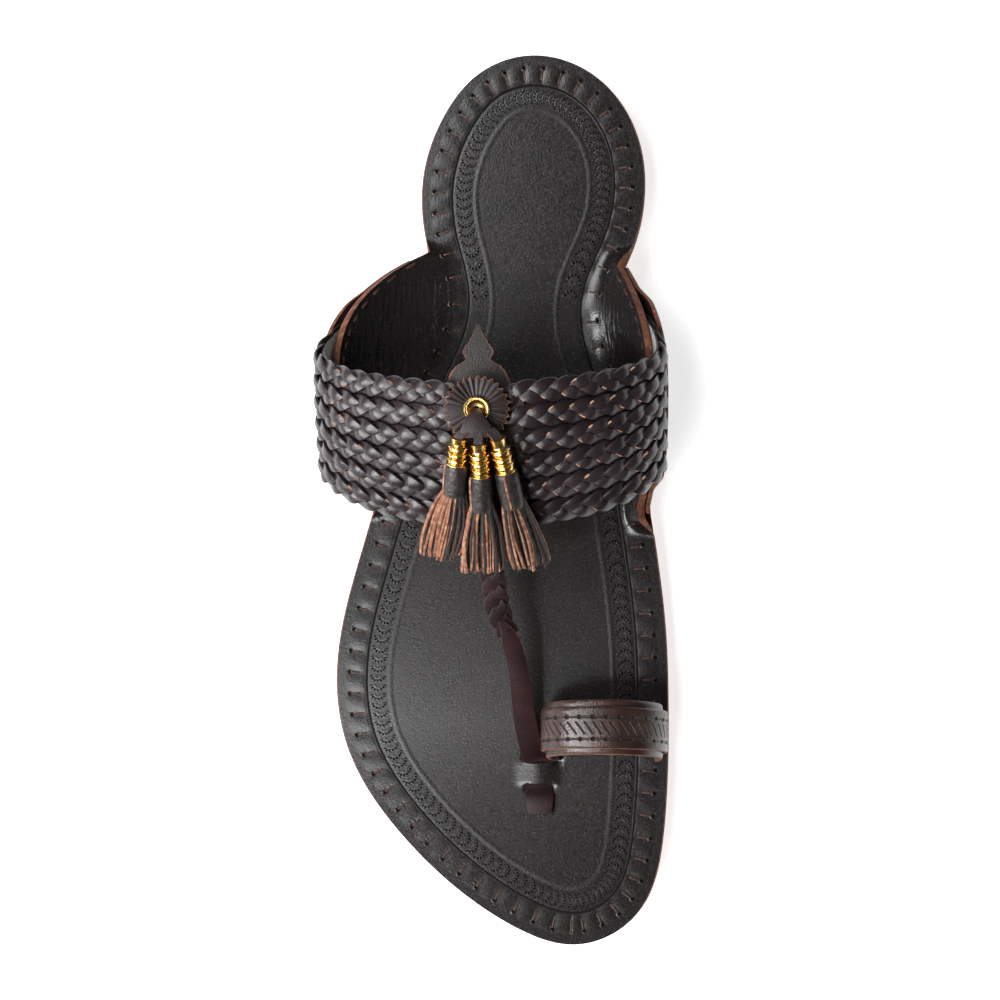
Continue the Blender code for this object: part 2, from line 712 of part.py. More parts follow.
def strap(finish):
    """The strap: a three-strand plait at first, then one flat strip to its free end."""
    rows = along(STRAP_MM * MM, STRAP_STATIONS)
    path = rows[:, :3] + np.c_[np.zeros((len(rows), 2)), footbed(rows[:, 1])]
    run = np.concatenate([[0], np.cumsum(np.linalg.norm(np.diff(path, axis=0), axis=1))])
    plaited = smooth(STRAP_PLAIT_END - 3 * MM, STRAP_PLAIT_END + 3 * MM, rows[:, 1])
    sway = STRAP_PLAIT_SWAY * plaited * np.cos(2 * math.pi * run / STRAP_PLAIT_PITCH)
    half = rows[:, 3] / 2
    rings = strip_rings(path, half + sway, half - sway, rows[:, 4], (1, 0, 0))
    return loft("strap", rings, finish)


def upper(finish):
    """Band and strap in one, as they are sewn."""
    return combine(plaited_band(finish), [strap(finish)], "UNION")


def ear_cover(name, side, finish):
    """Outer leather over an ear: it swells over the band's end and stands on the midsole below."""
    front, rear = EAR_NOTCH_Y[side]
    rings = []
    for y in insole_stations():
        if not front + COVER_INSET < y < rear - COVER_INSET:
            continue
        start, end = bend_width(y) - COVER_START, ear_reach(y, side)
        distance = np.linspace(start, end, 9)
        _, z = ear_points(y, side, distance, 0)
        share = (BAND_MM[1, 1] * MM - y) / ((BAND_MM[1, 1] - BAND_MM[1, 2]) * MM)
        over = smooth(*COVER_SWELL_Z, z - band_end_z(np.clip(share, 0, 1)))
        over = over * smooth(*COVER_SWELL_FRONT, y) * (1 - smooth(*COVER_SWELL_REAR, y))
        close = insole_depth(y, side, distance) + COVER_GAP
        lifted = EAR_THICK + BAND_GAP + BAND_THICK + COVER_GAP
        inner = close + over * np.maximum(lifted - close, 0)
        inner_x, inner_z = ear_points(y, side, distance, inner)
        outer_x, outer_z = ear_points(y, side, distance, inner + COVER_THICK)
        foot = 1 - smooth(start, start + COVER_FOOT, distance)
        floor = midsole_top(y) + GAP
        outer_z = outer_z + foot * (floor - outer_z)
        outer_z = np.maximum(outer_z, floor)
        inner_z = np.maximum(inner_z, outer_z[0] + COVER_EDGE)
        rings.append(
            [(a, y, b) for a, b in zip(inner_x, inner_z)]
            + [(a, y, b) for a, b in zip(outer_x[::-1], outer_z[::-1])]
        )
    return loft(name, rings, finish)


def loop_strip(name, foot, size, lift, finish):
    """A strip of the toe loop, lifted off the under strip's middle and cut level at its feet."""
    rows = along(np.insert(LOOP_MM, 1, 0.0, axis=1) * MM, LOOP_STATIONS)
    rows = rows[rows[:, 2] > foot - footbed(LOOP_Y)]
    x, _, height = rows.T
    path = np.stack([x, LOOP_Y + LOOP_LEAN * np.maximum(height, 0), footbed(LOOP_Y) + height], axis=1)
    _, _, up = directions(path, np.array([0.0, -1.0, 0.0]))
    half = np.full(len(path), size[0] / 2)
    rings = strip_rings(path + up * lift, half, half, size[1], (0, -1, 0))
    rings[..., 2] = np.maximum(rings[..., 2], foot)
    return loft(name, rings, finish)


def crown_tab(finish):
    """A cut tab that starts under the band and lies back over the instep."""
    rows = TAB_MM * MM
    rings = []
    for y, half in rows:
        x = TAB_X + np.array([-half, half])
        bottom, top = (above_last(x, np.full(2, y), h) for h in (TAB_AIR, TAB_AIR + TAB_THICK))
        rings.append([(x[0], y, bottom[0]), (x[1], y, bottom[1]), (x[1], y, top[1]), (x[0], y, top[0])])
    return loft("crown_tab", rings, finish)


def rosette(finish):
    """A disc with a pinked edge, pleated towards its hole."""
    turns = np.linspace(0, 2 * math.pi, 2 * ROSETTE_TEETH, endpoint=False)
    tooth = np.arange(len(turns)) % 2 == 0
    rim = np.where(tooth, ROSETTE_RADIUS, ROSETTE_NOTCH)
    pleat = np.where(tooth, ROSETTE_PLEAT, 0.0)
    middle = ROSETTE_MIDDLE * ROSETTE_RADIUS
    low, high = PLAIT_TOP + GAP, PLAIT_TOP + GAP + ROSETTE_THICK
    rings = []
    for radius, height, wave in (
        (np.full(len(turns), ROSETTE_HOLE), low, 0),
        (np.full(len(turns), middle), low, 0.5),
        (rim, low, 1),
        (rim, high, 1),
        (np.full(len(turns), middle), high, 0.5),
        (np.full(len(turns), ROSETTE_HOLE), high, 0),
    ):
        x, y = ROSETTE_X + radius * np.cos(turns), ROSETTE_Y + radius * np.sin(turns)
        rings.append(np.stack([x, y, above_last(x, y, height + wave * pleat)], axis=1))
    bm = bmesh.new()
    rows = [[bm.verts.new(point) for point in ring] for ring in rings]
    for row, following in zip(rows, rows[1:] + rows[:1]):
        for k in range(len(turns)):
            after = (k + 1) % len(turns)
            bm.faces.new((row[k], row[after], following[after], following[k]))
    bmesh.ops.triangulate(bm, faces=bm.faces)
    return new_object("rosette", bm, finish)


def eyelet(finish):
    """A rolled flange on a barrel that goes down through the rosette."""
    flange = GAP + ROSETTE_THICK + GAP
    middle = (EYELET_HOLE + EYELET_RADIUS) / 2
    profile = (
        (EYELET_HOLE, GAP),
        (EYELET_BARREL, GAP),
        (EYELET_BARREL, flange),
        (EYELET_RADIUS, flange),
        (EYELET_RADIUS + 0.1 * MM, flange + 0.5 * EYELET_RISE),
        (middle + 0.4 * MM, flange + EYELET_RISE),
        (middle - 0.4 * MM, flange + EYELET_RISE),
        (EYELET_HOLE, flange + 0.4 * EYELET_RISE),
    )
    made = lathe("eyelet", profile, 18, finish)
    by_x, by_y = last_slope(ROSETTE_X, ROSETTE_Y)
    made.location = (ROSETTE_X, ROSETTE_Y, float(above_last(ROSETTE_X, ROSETTE_Y, PLAIT_TOP)))
    made.rotation_euler = (math.atan(float(by_y)), -math.atan(float(by_x)), 0)
    return made


def on_plaits(x, y, height):
    """A point at a height above the plaits' tops, in metres, from millimetres."""
    return np.array([x * MM, y * MM, float(above_last(x * MM, y * MM, PLAIT_TOP + height * MM))])


def tassel_tongue(finish):
    """Leather that comes up through the eyelet, widens and ends in three fingers in the ferrules."""
    rows = TONGUE_MM
    path = np.array([on_plaits(*row[:3]) for row in rows])
    spread = along(np.c_[path, rows[:, 3:] * MM], 8)
    half = spread[:, 3] / 2
    rings = strip_rings(spread[:, :3], half, half, spread[:, 4], (1, 0, 0))
    made = loft("tassel_tongue", rings, finish)
    fingers = []
    for name, (start, end, *_) in TASSELS_MM.items():
        root = on_plaits(FINGER_SPREAD * start[0], rows[-1, 1] + FINGER_ROOT_MM, rows[-1, 2])
        path = np.array([root, on_plaits(*start), on_plaits(*end)])
        size = np.full(3, FINGER_RADIUS)
        fingers.append(loft(f"finger {name}", round_rings(path, size, size, 8, (1, 0, 0)), finish))
    return combine(made, fingers, "UNION")


def ferrule(name, start, end, finish):
    """A short brass tube with turned ribs, from its upper end to its lower end."""
    length = float(np.linalg.norm(end - start))
    pitch = length / FERRULE_RIBS
    outer = []
    for rib in range(FERRULE_RIBS):
        outer += [(FERRULE_WAIST, rib * pitch), (FERRULE_RADIUS, (rib + RIB_CREST) * pitch)]
    outer += [(FERRULE_WAIST, length)]
    profile = [(FERRULE_BORE, 0), *outer, (FERRULE_BORE, length)]
    made = lathe(name, profile, 12, finish)
    made.location = start
    x, y, z = (end - start) / length
    made.rotation_euler = (0, math.acos(z), math.atan2(y, x))
    return made


def tassel(name, start, cap_end, tip, spread, finish):
    """A leather cap and the strips that hang from it, parted towards their ends."""
    mouth = on_plaits(*cap_end, CAP_MOUTH_MM)
    forward = (mouth - start) / np.linalg.norm(mouth - start)
    lip = start + CAP_LIP * forward
    core_end = mouth + FRINGE_CORE_SHARE * (tip - mouth)
    path = np.array([start, lip, mouth, (mouth + core_end) / 2, core_end])
    across = np.array([1.0, 0.0, 0.0])
    shares = np.array([0, 0, 0, 0.5, 1]) * FRINGE_CORE_SHARE
    widths = CAP_RADIUS + shares * (spread - CAP_RADIUS)
    widths[0] -= CAP_LIP_INSET
    made = loft(name, round_rings(path, widths, CAP_HEIGHTS, CAP_SIDES, across), finish)
    strips = []
    for k in range(FRINGE_STRIPS):
        share = 2 * (k + 0.5) / FRINGE_STRIPS - 1
        shorter = FRINGE_SHORTER * (k % 3)
        root = mouth + across * share * FRINGE_ROOT_SPREAD * CAP_RADIUS - FRINGE_ROOT * forward
        end = tip + across * share * spread + shorter * (mouth - tip)
        points = np.array([root, (root + end) / 2 + across * share * FRINGE_BOW, end])
        points[1:, 2] += FRINGE_WAVE if k % 2 else -FRINGE_WAVE
        size = np.full(3, FRINGE_STRIP_WIDTH / 2)
        rings = strip_rings(points, size, size, FRINGE_STRIP_THICK, across)
        strips.append(loft(f"{name} strip {k}", rings, finish))
    return combine(made, strips, "UNION")


def ornament(leather, fringe, brass):
    """Tongue, ferrules and tassels, hung one below the other."""
    tassel_tongue(leather)
    for name, (start, end, cap_end, tip, spread) in TASSELS_MM.items():
        top, bottom = on_plaits(*start), on_plaits(*end)
        ferrule(f"ferrule_{name}", top, bottom, brass)
        hang = bottom + (bottom - top) / np.linalg.norm(bottom - top) * GAP
        tassel(f"tassel_{name}", hang, cap_end, np.array(tip) * MM, spread * MM, fringe)


def main():
    for old in list(bpy.data.objects):
        bpy.data.objects.remove(old)
    rubber = material("tan rubber", (0.55, 0.37, 0.24), 0.75)
    raw_leather = material("raw leather", (0.30, 0.12, 0.06), 0.8)
    footbed_leather = material("black brown leather", (0.028, 0.024, 0.025), 0.55)
    plait_leather = material("plaited leather", (0.045, 0.030, 0.034), 0.45)
    strap_leather = material("red brown leather", (0.055, 0.022, 0.020), 0.5)
    fringe_leather = material("fringe leather", (0.09, 0.035, 0.022), 0.65)
    brass = material("brass", (0.78, 0.50, 0.14), 0.2, 1.0)

    sole_layer("outsole", RUBBER_INSET, toe_rise, outsole_top, rubber)
    sole_layer("midsole", 0, midsole_bottom, midsole_top, raw_leather)
    insole(footbed_leather)
    ear_cover("ear_cover_lateral", -1, plait_leather)
    ear_cover("ear_cover_medial", 1, plait_leather)
    upper(plait_leather)
    loop_front = LOOP_Y - LOOP_WIDTH / 2
    loop_foot, overlay_foot = midsole_top(loop_front) + GAP, footbed(loop_front) + GAP
    overlay_lift = LOOP_THICK / 2 + OVERLAY_GAP + OVERLAY_THICK / 2
    loop_strip("toe_loop", loop_foot, (LOOP_WIDTH, LOOP_THICK), 0, strap_leather)
    overlay_size = (OVERLAY_WIDTH, OVERLAY_THICK)
    loop_strip("toe_loop_overlay", overlay_foot, overlay_size, overlay_lift, strap_leather)
    crown_tab(plait_leather)
    rosette(plait_leather)
    eyelet(brass)
    ornament(strap_leather, fringe_leather, brass)


main()
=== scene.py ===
import math

import bmesh
import bpy
import numpy as np
from mathutils import Matrix


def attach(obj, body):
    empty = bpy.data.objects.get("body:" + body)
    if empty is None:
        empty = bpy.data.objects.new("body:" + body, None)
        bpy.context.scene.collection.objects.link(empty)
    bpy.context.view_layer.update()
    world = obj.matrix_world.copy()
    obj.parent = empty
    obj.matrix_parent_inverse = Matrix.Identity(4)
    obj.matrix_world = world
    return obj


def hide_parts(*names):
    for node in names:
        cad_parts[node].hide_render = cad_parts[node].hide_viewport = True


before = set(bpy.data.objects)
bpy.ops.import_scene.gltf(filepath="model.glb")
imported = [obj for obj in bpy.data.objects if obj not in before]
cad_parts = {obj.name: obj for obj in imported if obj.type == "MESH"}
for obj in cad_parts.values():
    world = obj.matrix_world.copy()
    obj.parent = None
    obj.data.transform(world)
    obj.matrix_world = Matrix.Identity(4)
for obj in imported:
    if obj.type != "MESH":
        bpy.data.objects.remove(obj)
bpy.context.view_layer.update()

# Outsole
# One sheet of tan rubber, 4.5 mm thick, moulded with a waved tread and glued under the leather. It has
# no heel break. Its edge is cut with a knife and left plain.
MM = 0.001
LENGTH = 280 * MM
OUTSOLE_THICK = 4.5 * MM
TOE_SPRING, SPRING_START = 6 * MM, -72 * MM
RUBBER_INSET = 0.8 * MM
EDGE_MM = np.array([
    # y, lateral x, medial x
    (-140.0, 23.5, 23.5),
    (-135.5, 6.5, 38.0),
    (-125.0, -11.0, 47.3),
    (-106.0, -31.8, 52.0),
    (-83.5, -47.0, 53.4),
    (-61.5, -52.0, 53.5),
    (-40.0, -50.2, 52.6),
    (-20.0, -45.0, 50.3),
    (11.0, -36.2, 45.6),
    (40.0, -27.4, 40.0),
    (59.0, -19.2, 35.6),
    (78.0, -21.9, 42.1),
    (98.0, -24.1, 46.3),
    (123.0, -16.2, 39.8),
    (135.0, -5.5, 28.0),
    (140.0, 11.0, 11.0),
])
TREAD_PITCH, TREAD_WAVE, TREAD_SWING = 4.7 * MM, 27 * MM, 2.6 * MM
HATCH_PITCH = 1.5 * MM
UNDERSIDE = -0.7  # the tread lies where the face's normal points down by more than this


def spline(knots, values):
    """The natural cubic through values at rising knots, as a function that holds its ends."""
    knots, values = np.asarray(knots, float), np.asarray(values, float)
    step, last = np.diff(knots), len(knots) - 1
    matrix, right = np.eye(last + 1), np.zeros(last + 1)
    for i in range(1, last):
        matrix[i, i - 1 : i + 2] = step[i - 1], 2 * (step[i - 1] + step[i]), step[i]
        slopes = np.diff(values[i - 1 : i + 2]) / step[i - 1 : i + 1]
        right[i] = 6 * (slopes[1] - slopes[0])
    bend = np.linalg.solve(matrix, right)

    def curve(at):
        at = np.clip(at, knots[0], knots[-1])
        i = np.clip(np.searchsorted(knots, at) - 1, 0, last - 1)
        a = (knots[i + 1] - at) / step[i]
        b = 1 - a
        cubic = (a**3 - a) * bend[i] + (b**3 - b) * bend[i + 1]
        return a * values[i] + b * values[i + 1] + cubic * step[i] ** 2 / 6

    return curve


def turn_of(y):
    """The angle whose sine is y over half the length, in which the sole's ends are round."""
    return np.arcsin(np.clip(y / (LENGTH / 2), -1, 1))


EDGE_OF_SIDE = {
    -1: spline(turn_of(EDGE_MM[:, 0] * MM), EDGE_MM[:, 1] * MM),
    1: spline(turn_of(EDGE_MM[:, 0] * MM), EDGE_MM[:, 2] * MM),
}


def sole_edge(y, side):
    """x of the sole's edge; side is -1 for lateral and 1 for medial."""
    return EDGE_OF_SIDE[side](turn_of(y))


def toe_rise(y):
    """A parabola from the ball of the foot to the toe tip."""
    return TOE_SPRING * np.clip((SPRING_START - y) / (SPRING_START + LENGTH / 2), 0, 1) ** 2


def outsole_top(y):
    """The rubber's thickness above its lower face."""
    return OUTSOLE_THICK + toe_rise(y)


def linear(code):
    """An sRGB hex colour as linear red, green, blue and alpha: a straight line up to 0.04045, a power of 2.4
    above it."""
    parts = np.array([int(code[i : i + 2], 16) for i in (1, 3, 5)]) / 255
    return (*np.where(parts <= 0.04045, parts / 12.92, ((parts + 0.055) / 1.055) ** 2.4), 1.0)


def add(tree, kind, *values, out=0, **settings):
    """Adds a node and gives its output out. values fill its inputs in order, a setting with a capital fills
    the input of that name, and any other is the node's own. An input takes a constant or an output."""
    made = tree.nodes.new("ShaderNode" + kind)
    inputs = dict(enumerate(values))
    for name, value in settings.items():
        if name[0].isupper():
            inputs[name] = value
        else:
            setattr(made, name, value)
    for socket, value in inputs.items():
        if isinstance(value, bpy.types.NodeSocket):
            tree.links.new(value, made.inputs[socket])
        else:
            made.inputs[socket].default_value = value
    return made.outputs[out]


def new_finish(name, roughness, **sockets):
    """A material with its shader's own values: it, its tree, its shader, and the place on the piece."""
    made = bpy.data.materials.new(name)
    made.use_nodes = True
    tree = made.node_tree
    shader = tree.nodes["Principled BSDF"]
    shader.inputs["Roughness"].default_value = roughness
    for socket, value in sockets.items():
        shader.inputs[socket.replace("_", " ")].default_value = value
    return made, tree, shader, add(tree, "TexCoord", out="Object")


def set_stops(colour, stops):
    """Gives a colour ramp its stops, pairs of place and sRGB hex colour in rising order."""
    elements = colour.node.color_ramp.elements
    for place, _ in stops[2:]:
        elements.new(place)
    for element, (place, code) in zip(elements, stops):
        element.position = place
        element.color = linear(code)


def finish_shader(tree, shader, shade, stops, height, distance):
    """Colours the shader by a ramp over shade, and gives it a bump of height times distance."""
    colour = add(tree, "ValToRGB", shade)
    set_stops(colour, stops)
    tree.links.new(colour, shader.inputs["Base Color"])
    bump = add(tree, "Bump", Height=height, Distance=distance)
    tree.links.new(bump, shader.inputs["Normal"])


# Moulded rubber: matt, mottled about every 6 mm. The tread is two thin ridges and a cross-hatched field.
rubber, tree, shader, place = new_finish("moulded tan rubber", 0.72, IOR=1.52)
crosswise, lengthwise = (add(tree, "SeparateXYZ", place, out=axis) for axis in "XY")
swing = add(tree, "Math", crosswise, 2 * math.pi / TREAD_WAVE, operation="MULTIPLY")
swing = add(tree, "Math", swing, operation="SINE")
row = add(tree, "Math", swing, TREAD_SWING, lengthwise, operation="MULTIPLY_ADD")
row = add(tree, "Math", row, 1 / TREAD_PITCH, operation="MULTIPLY")
row = add(tree, "Math", row, operation="FRACT")
ridges = add(tree, "ValToRGB", row)
set_stops(ridges, [
    (0.0, "#ffffff"), (0.08, "#ffffff"), (0.12, "#595959"), (0.2, "#595959"),
    (0.24, "#ffffff"), (0.36, "#ffffff"), (0.4, "#595959"), (0.5, "#b3b3b3"),
    (0.9, "#b3b3b3"), (0.95, "#595959"), (1.0, "#ffffff"),
])
hatch = []
for turn in (1, -1):
    slant = add(tree, "Math", crosswise, turn, lengthwise, operation="MULTIPLY_ADD")
    slant = add(tree, "Math", slant, 2 * math.pi / HATCH_PITCH, operation="MULTIPLY")
    hatch.append(add(tree, "Math", slant, operation="SINE"))
hatch = add(tree, "Math", *hatch, operation="MAXIMUM")
relief = add(tree, "Math", hatch, 0.12, ridges, operation="MULTIPLY_ADD")
down = add(tree, "NewGeometry", out="Normal")
down = add(tree, "SeparateXYZ", down, out="Z")
down = add(tree, "Math", down, UNDERSIDE, operation="LESS_THAN")
relief = add(tree, "Math", relief, down, operation="MULTIPLY")
mottle = add(tree, "TexNoise", place, Scale=0.18 / MM, Detail=6)
shade = add(tree, "Math", relief, 0.55, mottle, operation="MULTIPLY_ADD")
finish_shader(tree, shader, shade, [(0.35, "#a37c63"), (1.0, "#cfae93")], relief, 0.6 * MM)


def make_piece(name, points, faces, finishes, finish_of_face=None, uv=None, sharp=40):
    """A mesh at the origin from arrays of points and of four-cornered faces, with equal points merged
    and its faces turned outwards. uv gives each point its place in the pattern."""
    mesh = bpy.data.meshes.new(name)
    mesh.from_pydata(points.reshape(-1, 3).tolist(), [], faces.tolist())
    for finish in finishes:
        mesh.materials.append(finish)
    if finish_of_face is not None:
        mesh.polygons.foreach_set("material_index", np.asarray(finish_of_face, np.int32).ravel())
    if uv is not None:
        corners = np.empty(len(mesh.loops), np.int32)
        mesh.loops.foreach_get("vertex_index", corners)
        layer = mesh.uv_layers.new(name="pattern")
        layer.data.foreach_set("uv", uv.reshape(-1, 2)[corners].astype(np.float32).ravel())
    form = bmesh.new()
    form.from_mesh(mesh)
    bmesh.ops.remove_doubles(form, verts=form.verts, dist=1e-7)
    bmesh.ops.dissolve_degenerate(form, edges=form.edges, dist=1e-8)
    bmesh.ops.recalc_face_normals(form, faces=form.faces)
    form.to_mesh(mesh)
    form.free()
    mesh.shade_smooth()
    mesh.set_sharp_from_angle(angle=math.radians(sharp))
    made = bpy.data.objects.new(name, mesh)
    bpy.context.scene.collection.objects.link(made)
    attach(made, "root")
    return made


def tube_faces(tubes, rings, around, first=0):
    """Faces of closed tubes whose points are numbered by tube, ring and place around, and a row
    number for each face: its place around."""
    tube, ring, spot = np.meshgrid(np.arange(tubes), np.arange(rings - 1), np.arange(around), indexing="ij")
    after = (spot + 1) % around
    base = first + (tube * rings + ring) * around
    faces = np.stack([base + spot, base + after, base + around + after, base + around + spot], axis=-1)
    return faces.reshape(-1, 4), spot.reshape(-1)


def close_ends(rings):
    """Adds a ring at each end of tubes that is shrunk to one point; the rings run along axis 1."""
    first = np.broadcast_to(rings[:, :1].mean(axis=2, keepdims=True), rings[:, :1].shape)
    last = np.broadcast_to(rings[:, -1:].mean(axis=2, keepdims=True), rings[:, -1:].shape)
    return np.concatenate([first, rings, last], axis=1)


def make_tubes(name, rings, finishes, *cuts, uv=None, sharp=40, closed=True):
    """A piece of one or more tubes from their rings, with shut ends unless closed is false. cuts gives, for
    each finish after the first, the places around whose faces get it."""
    if closed:
        rings = close_ends(rings)
    faces, spot = tube_faces(len(rings), rings.shape[1], rings.shape[2])
    finish = np.zeros_like(spot)
    for number, places in enumerate(cuts, 1):
        finish[np.isin(spot, places)] = number
    return make_piece(name, rings, faces, finishes, finish, uv, sharp)


def sole_rows(step):
    """y of sections: evenly spaced, and by the sine of even angles, so closer, towards the round ends."""
    ends = LENGTH / 2 * np.sin(np.radians(np.linspace(62, 89.6, 40)))
    middle = np.arange(-ends[0], ends[0], step)
    return np.concatenate([-ends[::-1], middle[1:], ends])


def sole_sheet(name, inset, bottom, top, round_over, finish):
    """A sheet with the sole's outline between two heights; quarter circles round its four edges over."""
    y = sole_rows(1.5 * MM)
    low, high = bottom(y), top(y)
    left, right = sole_edge(y, -1) + inset, sole_edge(y, 1) - inset
    turns = np.radians([90, 60, 30, 0])
    ring = []
    for edge_x, side, level, sign in (
        (right, 1, low, 1), (right, 1, high, -1), (left, -1, high, -1), (left, -1, low, 1),
    ):
        for turn in turns if sign == side else turns[::-1]:
            x = edge_x - side * round_over * (1 - math.cos(turn))
            z = level + sign * round_over * (1 - math.sin(turn))
            ring.append(np.stack([x, y * (1 - 2 * inset / LENGTH), z], axis=-1))
    return make_tubes(name, np.stack(ring, axis=1)[None], [finish])


outsole = sole_sheet("rubber_outsole", RUBBER_INSET, toe_rise, outsole_top, 0.5 * MM, rubber)
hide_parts("outsole")

# Midsole
# Layers of vegetable tanned leather pasted on each other, thicker under the heel, cut flush with the
# insole and left raw, so that the orange brown of the tanning and the layers show at the edge.
GAP = 0.3 * MM
MIDSOLE_THICK = 2.5 * MM
HEEL_LIFT, HEEL_LIFT_FRONT, HEEL_LIFT_BACK = 3.5 * MM, 10 * MM, 70 * MM


def smooth(low, high, value):
    """0 up to low, 1 from high, and between them three squares less two cubes of the share of the way."""
    share = np.clip((value - low) / (high - low), 0, 1)
    return share * share * (3 - 2 * share)


def midsole_bottom(y):
    """The rubber's top and the line of glue."""
    return outsole_top(y) + GAP


def midsole_top(y):
    """The midsole's thickness above its lower face, and the heel's extra layers, which start by an even S."""
    return midsole_bottom(y) + MIDSOLE_THICK + HEEL_LIFT * smooth(HEEL_LIFT_FRONT, HEEL_LIFT_BACK, y)


# Raw leather edge: matt and fibrous, orange brown, with lines about 0.8 mm apart along the layers.
raw_edge, tree, shader, place = new_finish("raw vegetable tanned leather edge", 0.82)
layers = add(tree, "Mapping", place, Scale=(0.09 / MM, 0.09 / MM, 1.3 / MM))
layers = add(tree, "TexNoise", layers, Scale=1, Detail=5)
fibres = add(tree, "TexNoise", place, Scale=1.5 / MM, Detail=4)
shade = add(tree, "Math", fibres, 0.5, layers, operation="MULTIPLY_ADD")
browns = [(0.45, "#37190f"), (0.72, "#663927"), (0.95, "#87563f")]
finish_shader(tree, shader, shade, browns, shade, 0.25 * MM)

midsole = sole_sheet("leather_midsole", 0, midsole_bottom, midsole_top, 0.3 * MM, raw_edge)
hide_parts("midsole")

# Insole with its ears
# One sheet of black brown leather, 3 mm thick and skived to 2 mm at the ears, which are bent up warm
# at the waist. Its border is sewn with a leather thong and tooled with a groove and punched fans.
INSOLE_THICK, EAR_THICK = 3.0 * MM, 2.0 * MM
SKIVE_RUN = 15 * MM
BEND, BEND_SHARE = 9 * MM, 0.3
EAR_HEIGHT, EAR_RUN = 24 * MM, 3 * MM
EAR_NOTCH_Y = {-1: (-4 * MM, 79.5 * MM), 1: (-9 * MM, 76.5 * MM)}
LAST_MM = np.array([
    # y, lateral width, medial width, height of the widest place, height of the top
    (-10.0, 46.5, 47.0, 30.0, 47.0),
    (0.0, 47.2, 47.6, 33.0, 53.2),
    (10.0, 47.6, 47.9, 35.5, 58.6),
    (25.0, 48.0, 48.0, 39.0, 63.2),
    (45.0, 48.0, 48.0, 41.0, 65.0),
    (62.0, 46.5, 47.5, 41.0, 65.5),
    (82.0, 41.0, 47.0, 40.0, 65.5),
])
ROOT_PULL, WIDE_PULL_LOW, WIDE_PULL_HIGH, TOP_PULL = 0.45, 0.35, 0.50, 0.55
STITCH_PITCH, STITCH_IN, STITCH_LONG = 7.2 * MM, 6.0 * MM, 4.2 * MM
PILLOW, PILLOW_HALF = 0.22 * MM, 3.4 * MM
GROOVE_DEPTH, GROOVE_HALF, SLIT_DEPTH, SLIT_LIP = 0.05 * MM, 0.6 * MM, 1.2 * MM, 0.4 * MM
TRACE_STEP, BATCH = 0.25 * MM, 4000
TOOLED_REAR, TOOLED_FRONT = 63 * MM, 2 * MM  # the border is tooled behind and before the waist
WAIST_Y, WAIST_HALF, WAIST_END = 34 * MM, 34 * MM, 46 * MM
GROOVE_IN, FAN_IN, INNER_LINE_IN = 9.6 * MM, 13.2 * MM, 17.2 * MM
FAN_PITCH, FAN_RADIUS, FAN_BACK, FAN_DOTS = 3.6 * MM, 2.2 * MM, 0.6 * MM, 13
EAR_COLUMNS, MIDDLE_COLUMNS, LOW_COLUMNS = 36, 80, 9
WIDE_OF_SIDE = {
    -1: spline(LAST_MM[:, 0] * MM, LAST_MM[:, 1] * MM),
    1: spline(LAST_MM[:, 0] * MM, LAST_MM[:, 2] * MM),
}
WIDE_Z = spline(LAST_MM[:, 0] * MM, LAST_MM[:, 3] * MM)
TOP_Z = spline(LAST_MM[:, 0] * MM, LAST_MM[:, 4] * MM)
BRIDGE_X, BRIDGE_HALF, BRIDGE_RISE = 12.6 * MM, 7.2 * MM, 0.9 * MM
BRIDGE_Y = (-90.8 * MM, -83.2 * MM)
SLITS_MM = (
    # x from, x to, y from, y to
    (8.3, 15.8, -83.2, -81.4),
    (9.3, 16.8, -92.6, -90.8),
    (17.0, 20.0, -84.3, -65.3),
    (48.3, 51.3, -84.3, -65.3),
)


def footbed(y):
    """The insole's upper face: its thickness and a line of glue above the midsole."""
    return midsole_top(y) + GAP + INSOLE_THICK


def bend_width(y):
    """Distance from the bend line to the sole's edge."""
    return np.minimum(BEND, BEND_SHARE * (sole_edge(y, 1) - sole_edge(y, -1)))


def bezier(a, b, c, d, t):
    """The cubic from a to d that b and c pull at."""
    return (1 - t) ** 3 * a + 3 * (1 - t) ** 2 * t * b + 3 * (1 - t) * t**2 * c + t**3 * d


def last_xz(y, spot, side):
    """x and z of the last at y, one cubic from the bend line (spot 0) to the widest place (1) and one from
    there to the top (2)."""
    root_x, root_z = sole_edge(y, side) - side * bend_width(y), footbed(y)
    wide_x, wide_z, top_z = side * WIDE_OF_SIDE[side](y), WIDE_Z(y), TOP_Z(y)
    low_x = bezier(root_x, root_x + ROOT_PULL * (wide_x - root_x), wide_x, wide_x, spot)
    low_z = bezier(root_z, root_z, wide_z - WIDE_PULL_LOW * (wide_z - root_z), wide_z, spot)
    high_x = bezier(wide_x, wide_x, TOP_PULL * wide_x, 0, spot - 1)
    high_z = bezier(wide_z, wide_z + WIDE_PULL_HIGH * (top_z - wide_z), top_z, top_z, spot - 1)
    return np.where(spot < 1, low_x, high_x), np.where(spot < 1, low_z, high_z)


def ear_share(y, side):
    """1 where the insole bends up into an ear, 0 where it lies flat, with a short even S between."""
    front, rear = EAR_NOTCH_Y[side]
    risen = smooth(front - EAR_RUN, front + EAR_RUN, y)
    return risen * (1 - smooth(rear - EAR_RUN, rear + EAR_RUN, y))


